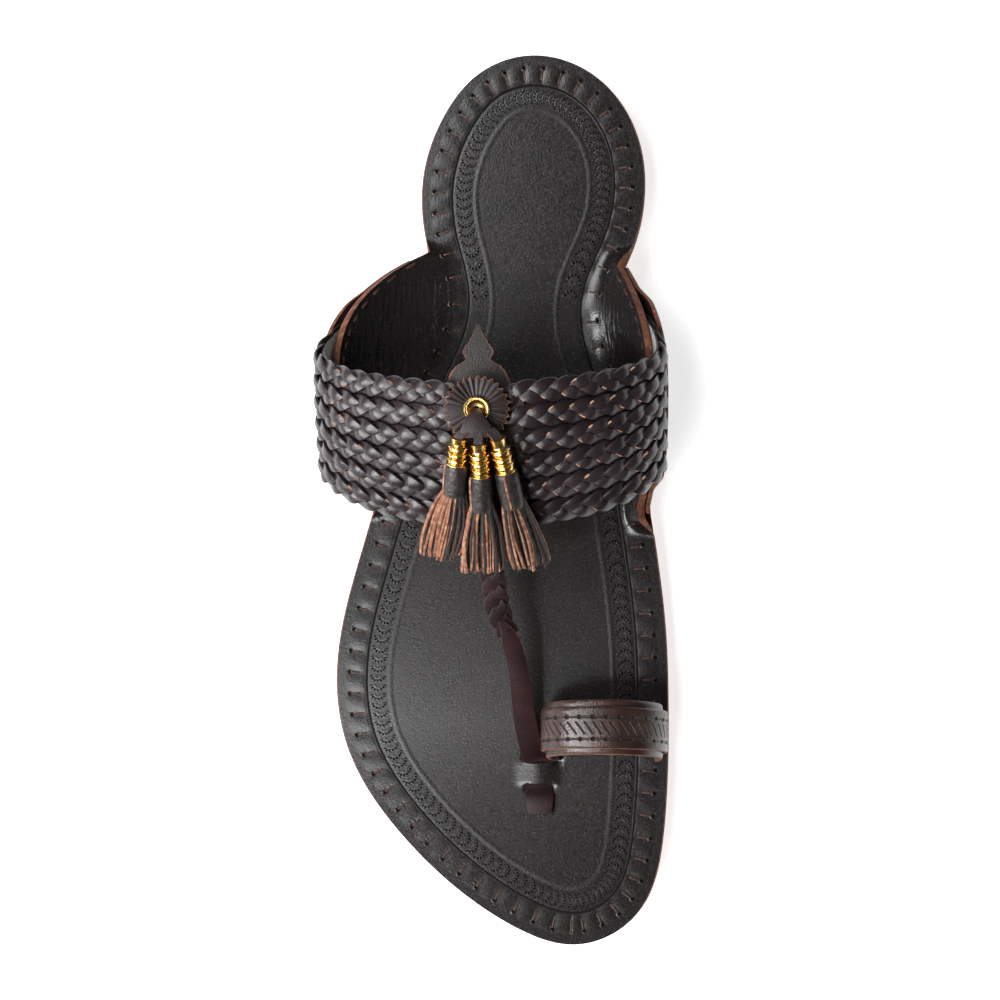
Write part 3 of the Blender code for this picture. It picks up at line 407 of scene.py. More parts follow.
def ear_profile(y, side):
    """Distance from the bend line, x, z and outward normal of the insole's upper face, each row a y: the
    last's curve and a level line, mixed by the ear's share."""
    y = np.atleast_1d(y)[:, None]
    x, z = last_xz(y, np.linspace(0, 1, 41)[None], side)
    steps = np.hypot(np.diff(x, axis=1), np.diff(z, axis=1))
    run = np.concatenate([np.zeros((len(y), 1)), np.cumsum(steps, axis=1)], axis=1)
    share = ear_share(y, side)
    x = share * x + (1 - share) * (x[:, :1] + side * run)
    z = share * z + (1 - share) * z[:, :1]
    along_x, along_z = np.gradient(x, axis=1), np.gradient(z, axis=1)
    size = np.hypot(along_x, along_z)
    return run, x, z, side * along_z / size, -side * along_x / size


def ear_reach(y, side):
    """Distance from the bend line to the sheet's edge: the sole's edge, or the ear's free edge, whose height
    is a parabola along y."""
    run, _, z, _, _ = ear_profile(y, side)
    front, rear = EAR_NOTCH_Y[side]
    spot = np.clip((2 * y - front - rear) / (rear - front), -1, 1)
    top = footbed(y) + EAR_HEIGHT * (1 - spot**2)
    reach = np.array([np.interp(level, row, far) for level, row, far in zip(top, z, run)])
    return np.where(np.abs(spot) < 1, np.maximum(bend_width(y), reach), bend_width(y))


def on_ear(y, side, distance, offset):
    """Points of the sheet at distances from the bend line, off its upper face, each row a y."""
    run, *columns = ear_profile(y, side)
    x, z, out_x, out_z = (
        np.stack([np.interp(d, r, c) for d, r, c in zip(distance, run, column)]) for column in columns
    )
    return x + out_x * offset, z + out_z * offset


def length_along(points):
    """Length of a row of points up to each of them, the running sum of its steps."""
    return np.concatenate([[0], np.cumsum(np.linalg.norm(np.diff(points, axis=0), axis=1))])


def outline():
    """The sole's edge as a row of points TRACE_STEP apart, from the toe tip by the lateral side, and the
    length up to each."""
    y = LENGTH / 2 * np.sin(np.linspace(-math.pi / 2, math.pi / 2, 1500))
    lateral, medial = (np.stack([sole_edge(y, side), y], axis=1) for side in (-1, 1))
    points = np.concatenate([lateral, medial[::-1]])
    run = length_along(points)
    at = np.arange(0, run[-1], TRACE_STEP)
    return np.stack([np.interp(at, run, column) for column in points.T], axis=1), at


EDGE_POINTS, EDGE_RUN = outline()


def border_place(x, y):
    """Run along the sole's edge and distance inside it, for places in the uncut flat sheet, from the nearest
    traced point. BATCH places are compared at a time, to spare memory."""
    flat = np.stack([x.ravel(), y.ravel()], axis=1)
    run, inside = np.empty(len(flat)), np.empty(len(flat))
    for start in range(0, len(flat), BATCH):
        part = flat[start : start + BATCH]
        gaps = ((part[:, None] - EDGE_POINTS[None]) ** 2).sum(axis=2)
        nearest = gaps.argmin(axis=1)
        run[start : start + BATCH] = EDGE_RUN[nearest]
        inside[start : start + BATCH] = np.sqrt(gaps[np.arange(len(part)), nearest])
    within = (flat[:, 0] > sole_edge(flat[:, 1], -1)) & (flat[:, 0] < sole_edge(flat[:, 1], 1))
    return run.reshape(x.shape), np.where(within, inside, -inside).reshape(x.shape)


def bridge_rise(x, y):
    """Height of the arch that the strap pushes up between its two slits, a power of a cosine."""
    across = np.clip(np.abs(x - BRIDGE_X) / BRIDGE_HALF, 0, 1)
    arch = np.cos(across * math.pi / 2) ** 1.4
    ends = smooth(BRIDGE_Y[0] - 0.5 * MM, BRIDGE_Y[0] + 0.3 * MM, y)
    ends = ends * (1 - smooth(BRIDGE_Y[1] - 0.3 * MM, BRIDGE_Y[1] + 0.5 * MM, y))
    return BRIDGE_RISE * arch * ends


def slit_depth(x, y):
    """1 inside a slit, 0 outside, and the product of even S curves over its four lips."""
    depth = np.zeros(np.broadcast(x, y).shape)
    for x0, x1, y0, y1 in np.array(SLITS_MM) * MM:
        inside = 1
        for low, high, value in ((x0, x1, x), (y0, y1, y)):
            inside = inside * smooth(low - SLIT_LIP, low + SLIT_LIP, value)
            inside = inside * (1 - smooth(high - SLIT_LIP, high + SLIT_LIP, value))
        depth = np.maximum(depth, inside)
    return depth


def border_relief(run, inside):
    """Height of the sewn border: pillows between the stitches, a power of a sine along it and a parabola
    across it, less the pressed groove, a bell curve."""
    across = np.clip(1 - ((inside - STITCH_IN) / PILLOW_HALF) ** 2, 0, 1)
    puff = np.abs(np.sin(math.pi * run / STITCH_PITCH)) ** 0.6
    groove = np.exp(-(((inside - GROOVE_IN) / GROOVE_HALF) ** 2))
    return PILLOW * across * (puff - 0.6) - GROOVE_DEPTH * groove


def insole_depth(y, side, distance):
    """Thickness of the insole leather, skived by an even S to an ear's thickness."""
    return INSOLE_THICK - (INSOLE_THICK - EAR_THICK) * ear_share(y, side) * smooth(0, SKIVE_RUN, distance)


def make_insole(finishes):
    """The upper face on a fine grid and the lower face on a coarse one, joined by a rounded cut edge."""
    y = sole_rows(0.9 * MM)
    column = y[:, None]
    top_x, top_z, flat_x, low_x, low_z = [], [], [], [], []
    for side in (-1, 1):
        reach = ear_reach(y, side)[:, None]
        fine = reach * np.linspace(0, 1, EAR_COLUMNS)[None] ** 0.9
        flat = sole_edge(column, side) - side * bend_width(column) + side * fine
        run, inside = border_place(flat, np.broadcast_to(column, flat.shape))
        x, z = on_ear(y, side, fine, -border_relief(run, inside))
        eased = on_ear(y, side, reach, 0.45 * MM)
        cut = on_ear(y, side, reach + 0.25 * MM, 0.8 * MM)
        coarse = reach * np.linspace(1, 0, LOW_COLUMNS)[None]
        under = on_ear(y, side, coarse, insole_depth(column, side, coarse))
        drawn_in = x[:, -1:] - side * 0.2 * MM
        outwards = slice(None, None, side)
        top_x.append(np.concatenate([x[:, :-1], drawn_in, eased[0], cut[0]], axis=1)[:, outwards])
        top_z.append(np.concatenate([z, eased[1], cut[1]], axis=1)[:, outwards])
        flat_x.append(np.concatenate([flat, flat[:, -1:], flat[:, -1:]], axis=1)[:, outwards])
        low_x.append(under[0])
        low_z.append(under[1])
    even = np.linspace(0, 1, MIDDLE_COLUMNS + 2)[1:-1]
    across = (even + (1 - np.cos(math.pi * even)) / 2) / 2
    left, right = (sole_edge(column, side) - side * bend_width(column) for side in (-1, 1))
    middle_x = left + (right - left) * across
    run, inside = border_place(middle_x, np.broadcast_to(column, middle_x.shape))
    lift = border_relief(run, inside) + bridge_rise(middle_x, column)
    middle_z = footbed(column) + lift - SLIT_DEPTH * slit_depth(middle_x, column)
    columns = (top_x, middle_x, low_x), (top_z, middle_z, low_z), (flat_x, middle_x, low_x)
    x, z, flat = (
        np.concatenate([top[0], middle, top[1], low[1], low[0][:, ::-1]], axis=1)
        for top, middle, low in columns
    )
    rings = np.stack([x, np.broadcast_to(column, x.shape), z], axis=-1)
    pattern = np.stack(border_place(flat, np.broadcast_to(column, flat.shape)), axis=-1)
    pattern = np.concatenate([pattern[:1], pattern, pattern[-1:]])
    end = 2 * top_x[0].shape[1] + middle_x.shape[1]  # the upper face's places around
    cut_edge = (0, 1, *range(end - 3, end + 1), x.shape[1] - 1)
    return make_tubes("insole_with_ears", rings[None], finishes, cut_edge, uv=pattern, sharp=60)


def stroke(tree, value, at, full, faded, depth):
    """A pressed line where a value passes at: depth up to full away from it, fading to 0 at faded."""
    off = add(tree, "Math", value, at, operation="SUBTRACT")
    off = add(tree, "Math", off, operation="ABSOLUTE")
    return add(tree, "MapRange", off, full, faded, depth, 0.0)


def dimple(tree, x, y, full, faded, depth):
    """A pressed round spot where x and y are 0: depth up to full away from it, fading to 0 at faded."""
    off = add(tree, "CombineXYZ", x, y)
    off = add(tree, "VectorMath", off, operation="LENGTH", out="Value")
    return add(tree, "MapRange", off, full, faded, depth, 0.0)


# Waxed vegetable tanned leather: near black with a brown cast and a fine grain, satin. The groove, the
# fans of dots and the stitch holes are pressed in and dull, and painted darker as shade in their hollows.
# The bent waist is creased.
insole_leather, tree, shader, place = new_finish("waxed black brown leather", 0.5)
pattern = add(tree, "UVMap", uv_map="pattern")
run, inside = (add(tree, "SeparateXYZ", pattern, out=axis) for axis in "XY")
lengthwise = add(tree, "SeparateXYZ", place, out="Y")
groove = stroke(tree, inside, GROOVE_IN, 0.1 * MM, 0.4 * MM, 0.8)
line = stroke(tree, inside, INNER_LINE_IN, 0.1 * MM, 1.0 * MM, 0.14)
cell = add(tree, "Math", run, FAN_PITCH, operation="FLOORED_MODULO")
cell = add(tree, "Math", FAN_PITCH - FAN_BACK, cell, operation="SUBTRACT")
across = add(tree, "Math", inside, FAN_IN, operation="SUBTRACT")
radius = add(tree, "CombineXYZ", cell, across)
radius = add(tree, "VectorMath", radius, operation="LENGTH", out="Value")
dots = add(tree, "Math", across, cell, operation="ARCTAN2")
dots = add(tree, "Math", dots, FAN_DOTS, operation="MULTIPLY")
dots = add(tree, "Math", dots, operation="COSINE")
dots = add(tree, "MapRange", dots, -0.2, 0.6, 0.06)
ring = stroke(tree, radius, FAN_RADIUS, 0.16 * MM, 0.44 * MM, 1.0)
dots = add(tree, "Math", dots, ring, operation="MULTIPLY")
petal = stroke(tree, radius, FAN_RADIUS / 2, 0.1 * MM, 0.6 * MM, 0.07)
fans = add(tree, "Math", dots, petal, operation="MAXIMUM")
ahead = add(tree, "Math", cell, 0.15 * MM, operation="GREATER_THAN")
rear = add(tree, "Math", lengthwise, TOOLED_REAR, operation="GREATER_THAN")
front = add(tree, "Math", lengthwise, TOOLED_FRONT, operation="LESS_THAN")
tooled = add(tree, "Math", rear, front, operation="ADD")
for mask in (ahead, tooled):
    fans = add(tree, "Math", fans, mask, operation="MULTIPLY")
beside = add(tree, "Math", run, STITCH_PITCH / 2, -STITCH_PITCH / 2, operation="WRAP")
hole = add(tree, "Math", inside, STITCH_IN - STITCH_LONG / 2, operation="SUBTRACT")
hole = dimple(tree, beside, hole, 0.3 * MM, 0.9 * MM, 1.0)
pressed = groove
for mark in (line, fans, hole):
    pressed = add(tree, "Math", pressed, mark, operation="MAXIMUM")
grain = add(tree, "TexVoronoi", place, Scale=1.9 / MM)
cloud = add(tree, "TexNoise", place, Scale=0.06 / MM, Detail=5)
speck = add(tree, "TexNoise", place, Scale=1.6 / MM, Detail=2)
crease = add(tree, "Mapping", place, Scale=(0.9 / MM, 0.06 / MM, 0.9 / MM))
crease = add(tree, "TexNoise", crease, Scale=1, Detail=4)
bent = add(tree, "MapRange", inside, 7 * MM, -1 * MM, 0, 1.6)
waist = stroke(tree, lengthwise, WAIST_Y, WAIST_HALF, WAIST_END, 1.0)
for mask in (bent, waist):
    crease = add(tree, "Math", crease, mask, operation="MULTIPLY")
height = add(tree, "Math", grain, 0.08, crease, operation="MULTIPLY_ADD")
height = add(tree, "Math", height, pressed, operation="SUBTRACT")
shade = add(tree, "Math", cloud, 0.45, speck, operation="MULTIPLY_ADD")
shade = add(tree, "Math", shade, 0.2, operation="SUBTRACT")
# Painted shade: the colour of the pressed marks is darkened, as if shade fell into their hollows.
shade = add(tree, "Math", pressed, -0.35, shade, operation="MULTIPLY_ADD")
blacks = [(0.05, "#060404"), (0.4, "#131010"), (0.8, "#221d1d")]
finish_shader(tree, shader, shade, blacks, height, 0.3 * MM)
rough = add(tree, "MapRange", speck, 0.3, 0.7, 0.19, 0.28)
rough = add(tree, "Math", pressed, 0.5, rough, operation="MULTIPLY_ADD")
gloss = add(tree, "MapRange", pressed, 0, 1, 0.6, 0.0)
tree.links.new(rough, shader.inputs["Roughness"])
tree.links.new(gloss, shader.inputs["Specular IOR Level"])

insole = make_insole([insole_leather, raw_edge])
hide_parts("insole")

# Border stitches
# A narrow leather thong sews the sole's layers together. On the insole it shows as short bars square to
# the edge, 7.2 mm apart, each sunk into its two holes, where the raw leather inside shows orange.
STITCH_STEPS, STITCH_SINK = 7, 0.75 * MM
THONG_LIFT, THONG_HALF, THONG_HALF_THICK = 0.05 * MM, 0.3 * MM, 0.28 * MM
turn = np.linspace(0, 2 * math.pi, 8, endpoint=False)
ROUND = np.stack([np.cos(turn), np.sin(turn)], axis=1)


def on_sheet(flat_x, y, lift):
    """Points over places of the uncut flat sheet, lift above its upper face, on the bent ears too."""
    points = np.stack([flat_x, y, footbed(y) + lift], axis=1)
    for side in (-1, 1):
        out = side * (flat_x - sole_edge(y, side)) + bend_width(y)
        past = out > 0
        if past.any():
            x, z = on_ear(y[past], side, out[past, None], -lift[past, None])
            points[past, 0], points[past, 2] = x[:, 0], z[:, 0]
    return points


def unit(vectors):
    """The same vectors, each divided by its length."""
    return vectors / np.linalg.norm(vectors, axis=-1, keepdims=True)


def sweep(paths, ups, wide, high, section):
    """Carries a section along paths. The section's rows are places across and up, from -1 to 1; wide and
    high are its half sizes at each ring, and ups point out of its top. Axes are tube, ring, xyz."""
    forward = unit(np.gradient(paths, axis=1))
    across = unit(np.cross(forward, ups))
    up = np.cross(across, forward)
    wide = np.broadcast_to(wide, paths.shape[:2])[..., None] * section[:, 0]
    high = np.broadcast_to(high, paths.shape[:2])[..., None] * section[:, 1]
    return paths[:, :, None] + across[:, :, None] * wide[..., None] + up[:, :, None] * high[..., None]


def sewn(name, ends, lift, half_wide, half_high, finishes):
    """Short stitches between pairs of places in the flat sheet, each a fourth power that rises from a hole
    and goes back down. ends has axes stitch, start or end, xy. The ends have the second finish."""
    share = np.linspace(0, 1, STITCH_STEPS)
    flat = ends[:, :1] + share[:, None] * (ends[:, 1:] - ends[:, :1])
    arch = np.tile(lift - STITCH_SINK * np.abs(2 * share - 1) ** 4, len(ends))
    x, y = flat[..., 0].ravel(), flat[..., 1].ravel()
    path, above = (on_sheet(x, y, arch + more).reshape(*flat.shape[:2], 3) for more in (0, MM))
    rings = close_ends(sweep(path, above - path, half_wide, half_high, ROUND))
    faces, _ = tube_faces(len(rings), rings.shape[1], rings.shape[2])
    ring = np.tile(np.repeat(np.arange(rings.shape[1] - 1), rings.shape[2]), len(rings))
    return make_piece(name, rings, faces, finishes, np.where((ring < 2) | (ring > STITCH_STEPS - 2), 1, 0))


def grained(name, roughness, per_mm, detail, stops, distance, **sockets):
    """A finish whose colour and bump both follow one noise with so many waves to the millimetre."""
    made, tree, shader, place = new_finish(name, roughness, **sockets)
    noise = add(tree, "TexNoise", place, Scale=per_mm / MM, Detail=detail)
    finish_shader(tree, shader, noise, stops, noise, distance)
    return made


# Cut thong: red brown, its dye rubbed thin and dull; where it goes into its hole the raw core shows.
thong = grained("waxed leather thong", 0.6, 1.2, 3, [(0.4, "#2a1813"), (0.7, "#5c3a2c")], 0.15 * MM)

starts = STITCH_PITCH * np.arange(round(EDGE_RUN[-1] / STITCH_PITCH))
index = np.clip(np.round(starts / TRACE_STEP).astype(int), 1, len(EDGE_POINTS) - 2)
along_edge = unit(EDGE_POINTS[index + 1] - EDGE_POINTS[index - 1])
inward = np.stack([along_edge[:, 1], -along_edge[:, 0]], axis=1)
ends = [EDGE_POINTS[index] + inward * (STITCH_IN + half) for half in (-STITCH_LONG / 2, STITCH_LONG / 2)]
ends = np.stack(ends, axis=1)
sewn("border_stitches", ends, THONG_LIFT, THONG_HALF, THONG_HALF_THICK, [thong, raw_edge])

# Ear covers
# The outer leather of each ear swells over the end of the plaited band, stands on the midsole below and
# is sewn to the ear along the free edge with the same thong.
BAND_GAP, BAND_THICK = 0.45 * MM, 2.0 * MM
COVER_GAP, COVER_THICK, COVER_INSET, COVER_START = 0.5 * MM, 1.5 * MM, 4 * MM, 1.5 * MM
COVER_FOOT, COVER_EDGE, COVER_COLUMNS = 4 * MM, 0.4 * MM, 26
SWELL_Z, SWELL_FRONT, SWELL_REAR = (-6.5 * MM, -2 * MM), (2 * MM, 7 * MM), (60 * MM, 66 * MM)
SEAM_IN, SEAM_PITCH, SEAM_HALF, SEAM_LIFT, SEAM_SINK = 2.6 * MM, 4.4 * MM, 1.3 * MM, 0.2 * MM, 0.6 * MM
SEAM_FRONT, SEAM_REAR = 7 * MM, 6 * MM
BAND_END_Z = (24 * MM, 17 * MM)
BAND_MM = np.array([
    # place on the section (0 bend line, 1 widest, 2 top), rear edge y, front edge y
    (0.2, 60.0, 9.0),
    (0.6, 57.0, 9.0),
    (0.8, 52.0, 8.5),
    (1.0, 46.0, 7.5),
    (1.2, 42.0, 4.0),
    (1.5, 37.5, -2.0),
    (2.0, 33.0, -7.0),
])


def band_end_z(share):
    """Height of the band's end, along a straight line from its rear edge (share 0) to its front edge (1)."""
    return BAND_END_Z[0] + share * (BAND_END_Z[1] - BAND_END_Z[0])


def cover_lift(y, side, distance):
    """Distance of the cover's inner face off the insole's upper face: close to the ear's outside, and by
    even S curves up and along it swollen over the end of the band."""
    _, z = on_ear(y, side, distance, np.zeros_like(distance))
    share = (BAND_MM[1, 1] * MM - y) / ((BAND_MM[1, 1] - BAND_MM[1, 2]) * MM)
    over = smooth(*SWELL_Z, z - band_end_z(np.clip(share, 0, 1))[:, None])
    over = over * (smooth(*SWELL_FRONT, y) * (1 - smooth(*SWELL_REAR, y)))[:, None]
    close = insole_depth(y[:, None], side, distance) + COVER_GAP
    lifted = EAR_THICK + BAND_GAP + BAND_THICK + COVER_GAP
    return close + over * np.maximum(lifted - close, 0)


def ear_cover(name, side, finishes):
    """Sections along y: the inner face out, a rounded raw edge, and the outer face back. The outer face goes
    down to the midsole by an even S."""
    front, rear = EAR_NOTCH_Y[side]
    y = np.linspace(front + COVER_INSET + 0.2 * MM, rear - COVER_INSET - 0.2 * MM, 110)
    start = (bend_width(y) - COVER_START)[:, None]
    reach = ear_reach(y, side)[:, None]
    distance = start + (reach - start) * np.linspace(0, 1, COVER_COLUMNS)[None]
    inner = cover_lift(y, side, distance)
    inner_x, inner_z = on_ear(y, side, distance, inner)
    outer_x, outer_z = on_ear(y, side, distance, inner + COVER_THICK)
    tip_x, tip_z = on_ear(y, side, reach + 0.35 * MM, inner[:, -1:] + 0.5 * COVER_THICK)
    foot = 1 - smooth(start, start + np.minimum(COVER_FOOT, 0.8 * (reach - start)), distance)
    ground = (midsole_top(y) + GAP)[:, None]
    outer_z = np.maximum(outer_z + foot * (ground - outer_z), ground)
    inner_z = np.maximum(inner_z, outer_z[:, :1] + COVER_EDGE)
    x = np.concatenate([inner_x, tip_x, outer_x[:, ::-1]], axis=1)
    z = np.concatenate([inner_z, tip_z, outer_z[:, ::-1]], axis=1)
    rings = np.stack([x, np.broadcast_to(y[:, None], x.shape), z], axis=-1)
    return make_tubes(name, rings[None], finishes, (COVER_COLUMNS - 1, COVER_COLUMNS))


# Drum dyed leather for band and covers: dark brown with a grey bloom, pores about 0.45 mm apart, satin.
band_leather, tree, shader, place = new_finish("drum dyed dark brown leather", 0.45, Specular_IOR_Level=0.3)
pores = add(tree, "TexVoronoi", place, Scale=2.2 / MM)
cloud = add(tree, "TexNoise", place, Scale=0.15 / MM, Detail=6)
height = add(tree, "Math", pores, 0.25, cloud, operation="MULTIPLY_ADD")
browns = [(0.3, "#19130f"), (0.55, "#292020"), (0.8, "#3a2f2f")]
finish_shader(tree, shader, cloud, browns, height, 0.22 * MM)

for name, side in (("lateral", -1), ("medial", 1)):
    cover = ear_cover("outer_ear_cover_" + name, side, [band_leather, raw_edge])
    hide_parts("ear_cover_" + name)
    front, rear = EAR_NOTCH_Y[side]
    at = np.arange(front + SEAM_FRONT, rear - SEAM_REAR, SEAM_PITCH)
    pair = np.stack([at - SEAM_HALF, at + SEAM_HALF], axis=1)
    reach = ear_reach(pair.ravel(), side).reshape(pair.shape) - SEAM_IN
    flat = sole_edge(pair, side) + side * (reach - bend_width(pair))
    ends = np.stack([flat, pair], axis=-1)
    sewn("ear_stitches_inside_" + name, ends, SEAM_LIFT, 0.4 * MM, THONG_HALF_THICK, [thong, thong])
    share = np.linspace(0, 1, STITCH_STEPS)
    y = (pair[:, :1] + (pair[:, 1:] - pair[:, :1]) * share).ravel()
    distance = (ear_reach(y, side) - SEAM_IN)[:, None]
    rise = COVER_THICK + SEAM_LIFT - SEAM_SINK * np.abs(2 * share - 1) ** 4
    lift = cover_lift(y, side, distance) + np.tile(rise, len(pair))[:, None]
    path, above = (
        np.stack([x[:, 0], y, z[:, 0]], axis=1).reshape(len(pair), STITCH_STEPS, 3)
        for x, z in (on_ear(y, side, distance, offset) for offset in (lift, lift + MM))
    )
    rings = sweep(path, above - path, 0.45 * MM, 0.35 * MM, ROUND)
    make_tubes("ear_stitches_outside_" + name, rings, [thong])

# Plaited band
# Six flat plaits of three leather strips each, worked outwards from an uncut middle and sewn side by side
# on a pale lining. Their chevrons point to the middle. The ends lie flat between ear and cover.
PLAITS = 6
PLAIT_PITCH = 5.8 * MM
PLAIT_SWAY, PLAIT_RISE = 0.285 / PLAITS, 0.7 * MM
STRIP_HALF, STRIP_HALF_THICK = 0.25, 0.6 * MM
STRIP_MIDDLE = EAR_THICK + BAND_GAP + 2.15 * MM
COVERED = 0.2
STRIP_BANK, STRIP_ROLL, PLAIT_DOME, PLAIT_SHIFT = 0.12, 0.18, 0.3 * MM, 0.37
TUCKED, WORKED, FLAT_RUN, FLAT_DROP = 2.5 * MM, (1 * MM, 6 * MM), 5 * MM, 0.75 * MM
UNCUT_MM = {-1: (6.2, 6.2, 6.4, 6.6, 6.6, 6.8), 1: (7.0, 7.5, 9.0, 10.5, 11.5, 11.5)}
BAND_REAR = spline(BAND_MM[:, 0], BAND_MM[:, 1] * MM)
BAND_FRONT = spline(BAND_MM[:, 0], BAND_MM[:, 2] * MM)
TABLE_SHARES, TABLE_STEPS = np.linspace(-0.04, 1.04, 28), np.linspace(0, 1, 161)


def last_point(y, spot, side):
    """A point of the last at y, from its x and z."""
    x, z = last_xz(y, spot, side)
    return np.stack([x, np.broadcast_to(y, x.shape), z], axis=-1)


def band_y(spots, share):
    """y of the band at places on the section, between its rear edge (share 0) and its front edge (1)."""
    return BAND_REAR(spots) + share * (BAND_FRONT(spots) - BAND_REAR(spots))


def band_table(side):
    """Points, normals and length of one half of the band, from the middle to the end under the cover, on
    lines of equal share across it. A normal is the cross product of the steps along y and the section."""
    points, normals, lengths = [], [], []
    for share in TABLE_SHARES:
        spots = np.linspace(2, 0.05, 300)
        _, z = last_xz(band_y(spots, share), spots, side)
        spots = np.linspace(2, np.interp(-band_end_z(share), -z, spots), 260)
        run = length_along(last_point(band_y(spots, share), spots, side))
        spots = np.interp(TABLE_STEPS * run[-1], run, spots)
        y = band_y(spots, share)
        by_y = last_point(y + 0.2 * MM, spots, side) - last_point(y - 0.2 * MM, spots, side)
        near, far = np.clip(spots - 0.002, 0, 2), np.clip(spots + 0.002, 0, 2)
        by_spot = last_point(y, far, side) - last_point(y, near, side)
        points.append(last_point(y, spots, side))
        normals.append(unit(side * np.cross(by_y, by_spot)))
        lengths.append(run[-1])
    return np.array(points), np.array(normals), np.array(lengths)


BAND_TABLE = {side: band_table(side) for side in (-1, 1)}


def read_grid(grid, i, j):
    """Values of a grid at rows i and columns j that may be fractions, weighed from the four places round."""
    i, j = (np.clip(at, 0, count - 1.001) for at, count in zip((i, j), grid.shape))
    a, b = ((at - np.floor(at)).reshape(at.shape + (1,) * (grid.ndim - 2)) for at in (i, j))
    i, j = i.astype(int), j.astype(int)
    low, high = (grid[row, j] * (1 - b) + grid[row, j + 1] * b for row in (i, i + 1))
    return low * (1 - a) + high * a


def band_place(side, share, step, lift):
    """Points off the last by lift, and normals, at shares across and steps along one half of the band."""
    points, normals, _ = BAND_TABLE[side]
    i = (share - TABLE_SHARES[0]) / (TABLE_SHARES[1] - TABLE_SHARES[0])
    j = step * (len(TABLE_STEPS) - 1)
    normal = read_grid(normals, i, j)
    return read_grid(points, i, j) + normal * np.asarray(lift)[..., None], normal


def plait_strips(side):
    """Middle lines of the half band's strips: across the plait a sine, and in height a sine of twice the
    angle, so that each strip goes over on its way out and under on its way back."""
    steps = np.linspace(0, 1, 150)[None]
    row = np.repeat(np.arange(PLAITS), 3)[:, None]
    strip = np.tile(np.arange(3), PLAITS)[:, None]
    length = np.interp((row + 0.5) / PLAITS, TABLE_SHARES, BAND_TABLE[side][2])
    start = np.repeat(np.array(UNCUT_MM[side]) * MM, 3)[:, None] - TUCKED
    run = start + (length - start) * steps
    turn = 2 * math.pi * (run / (3 * PLAIT_PITCH) + strip / 3 + PLAIT_SHIFT * row)
    worked = smooth(start + WORKED[0], start + WORKED[1], run)
    shown_length = length * (1 - COVERED)
    free = 1 - smooth(shown_length - FLAT_RUN, shown_length, run)
    parallel = 0.3 * (strip - 1) / PLAITS
    share = (row + 0.5) / PLAITS + worked * PLAIT_SWAY * np.sin(turn) + (1 - worked) * parallel
    rise = PLAIT_RISE * worked * (0.35 + 0.65 * free) * np.sin(2 * turn)
    rise = rise + PLAIT_DOME * worked * (np.cos(turn) ** 2 - 0.5)
    lift = STRIP_MIDDLE + rise - FLAT_DROP * (1 - free)
    path, normal = band_place(side, share, run / length, lift)
    along = np.gradient(band_place(side, (row + 0.5) / PLAITS + 0 * run, run / length, lift)[0], axis=1)
    rear, _ = band_place(side, share * 0, run / length, lift)
    front, _ = band_place(side, share * 0 + 1, run / length, lift)
    pitch = np.linalg.norm(front - rear, axis=-1) / PLAITS
    along = STRIP_BANK * unit(along)
    along = along + (STRIP_ROLL * np.sin(turn) / (pitch * PLAITS))[..., None] * (front - rear)
    normal = normal + worked[..., None] * along
    high = STRIP_HALF_THICK * (0.5 + 0.5 * free) * (0.6 + 0.4 * worked)
    wide = STRIP_HALF * pitch * (0.75 + 0.25 * worked)
    crossing = (np.abs(np.sin(turn)) < 0.3) & (np.sin(2 * turn) > -0.2) & (worked * free > 0.9)
    shown = np.random.default_rng(11 + side).random((len(row), 40)) < 0.34 + 0.12 * side
    crossing &= np.take_along_axis(shown, (np.floor(turn / math.pi + 0.5) % 40).astype(int), axis=1)
    return path, normal, wide, high, crossing


# A strip's section: skived edges, a flat back and a domed top that folds into two soft facets.
PLAIT_SECTION = np.array([
    (-1.0, -0.6), (-1.0, 0.1), (-0.86, 0.65), (-0.35, 1.0), (0.35, 1.0),
    (0.86, 0.65), (1.0, 0.1), (1.0, -0.6), (0.8, -1.0), (-0.8, -1.0),
])
rings, crossings = [], []
for side in (-1, 1):
    path, normal, wide, high, crossing = plait_strips(side)
    rings.append(sweep(path, normal, wide, high, PLAIT_SECTION))
    crossings.append(np.pad(crossing, ((0, 0), (1, 0))))
rings = close_ends(np.concatenate(rings))
faces, spot = tube_faces(len(rings), rings.shape[1], rings.shape[2])
crossing = np.repeat(np.concatenate(crossings).ravel(), len(PLAIT_SECTION))
finish = np.select([np.isin(spot, (0, 1, 5, 6)) & crossing, np.isin(spot, (0, 6))], [2, 1], 0)

# Strips cut from drum dyed leather: dark brown with a grey bloom in patches, satin, with fine creases;
# the cut edges are stained too, and show orange only here and there.
plait_leather, tree, shader, place = new_finish("plaited strip leather", 0.35)
crease = add(tree, "TexNoise", place, Scale=0.42 / MM, Detail=5, Distortion=0.6)
cloud = add(tree, "TexNoise", place, Scale=0.09 / MM, Detail=3)
browns = [(0.3, "#150e10"), (0.5, "#211719"), (0.75, "#2f2529")]
finish_shader(tree, shader, cloud, browns, crease, 0.2 * MM)
strip_edge = grained("stained strip edge", 0.7, 0.26, 2, [(0.6, "#201617"), (0.85, "#55342a")], 0.1 * MM)
# The undyed core where a strip's edge has rubbed bare, at the points of the chevrons.
bare_core = grained("bare strip core", 0.85, 1.3, 3, [(0.3, "#7d5240"), (0.7, "#bd937a")], 0.1 * MM)
plaits = make_piece("plaited_strips", rings, faces, [plait_leather, strip_edge, bare_core], finish, sharp=38)
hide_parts("upper")


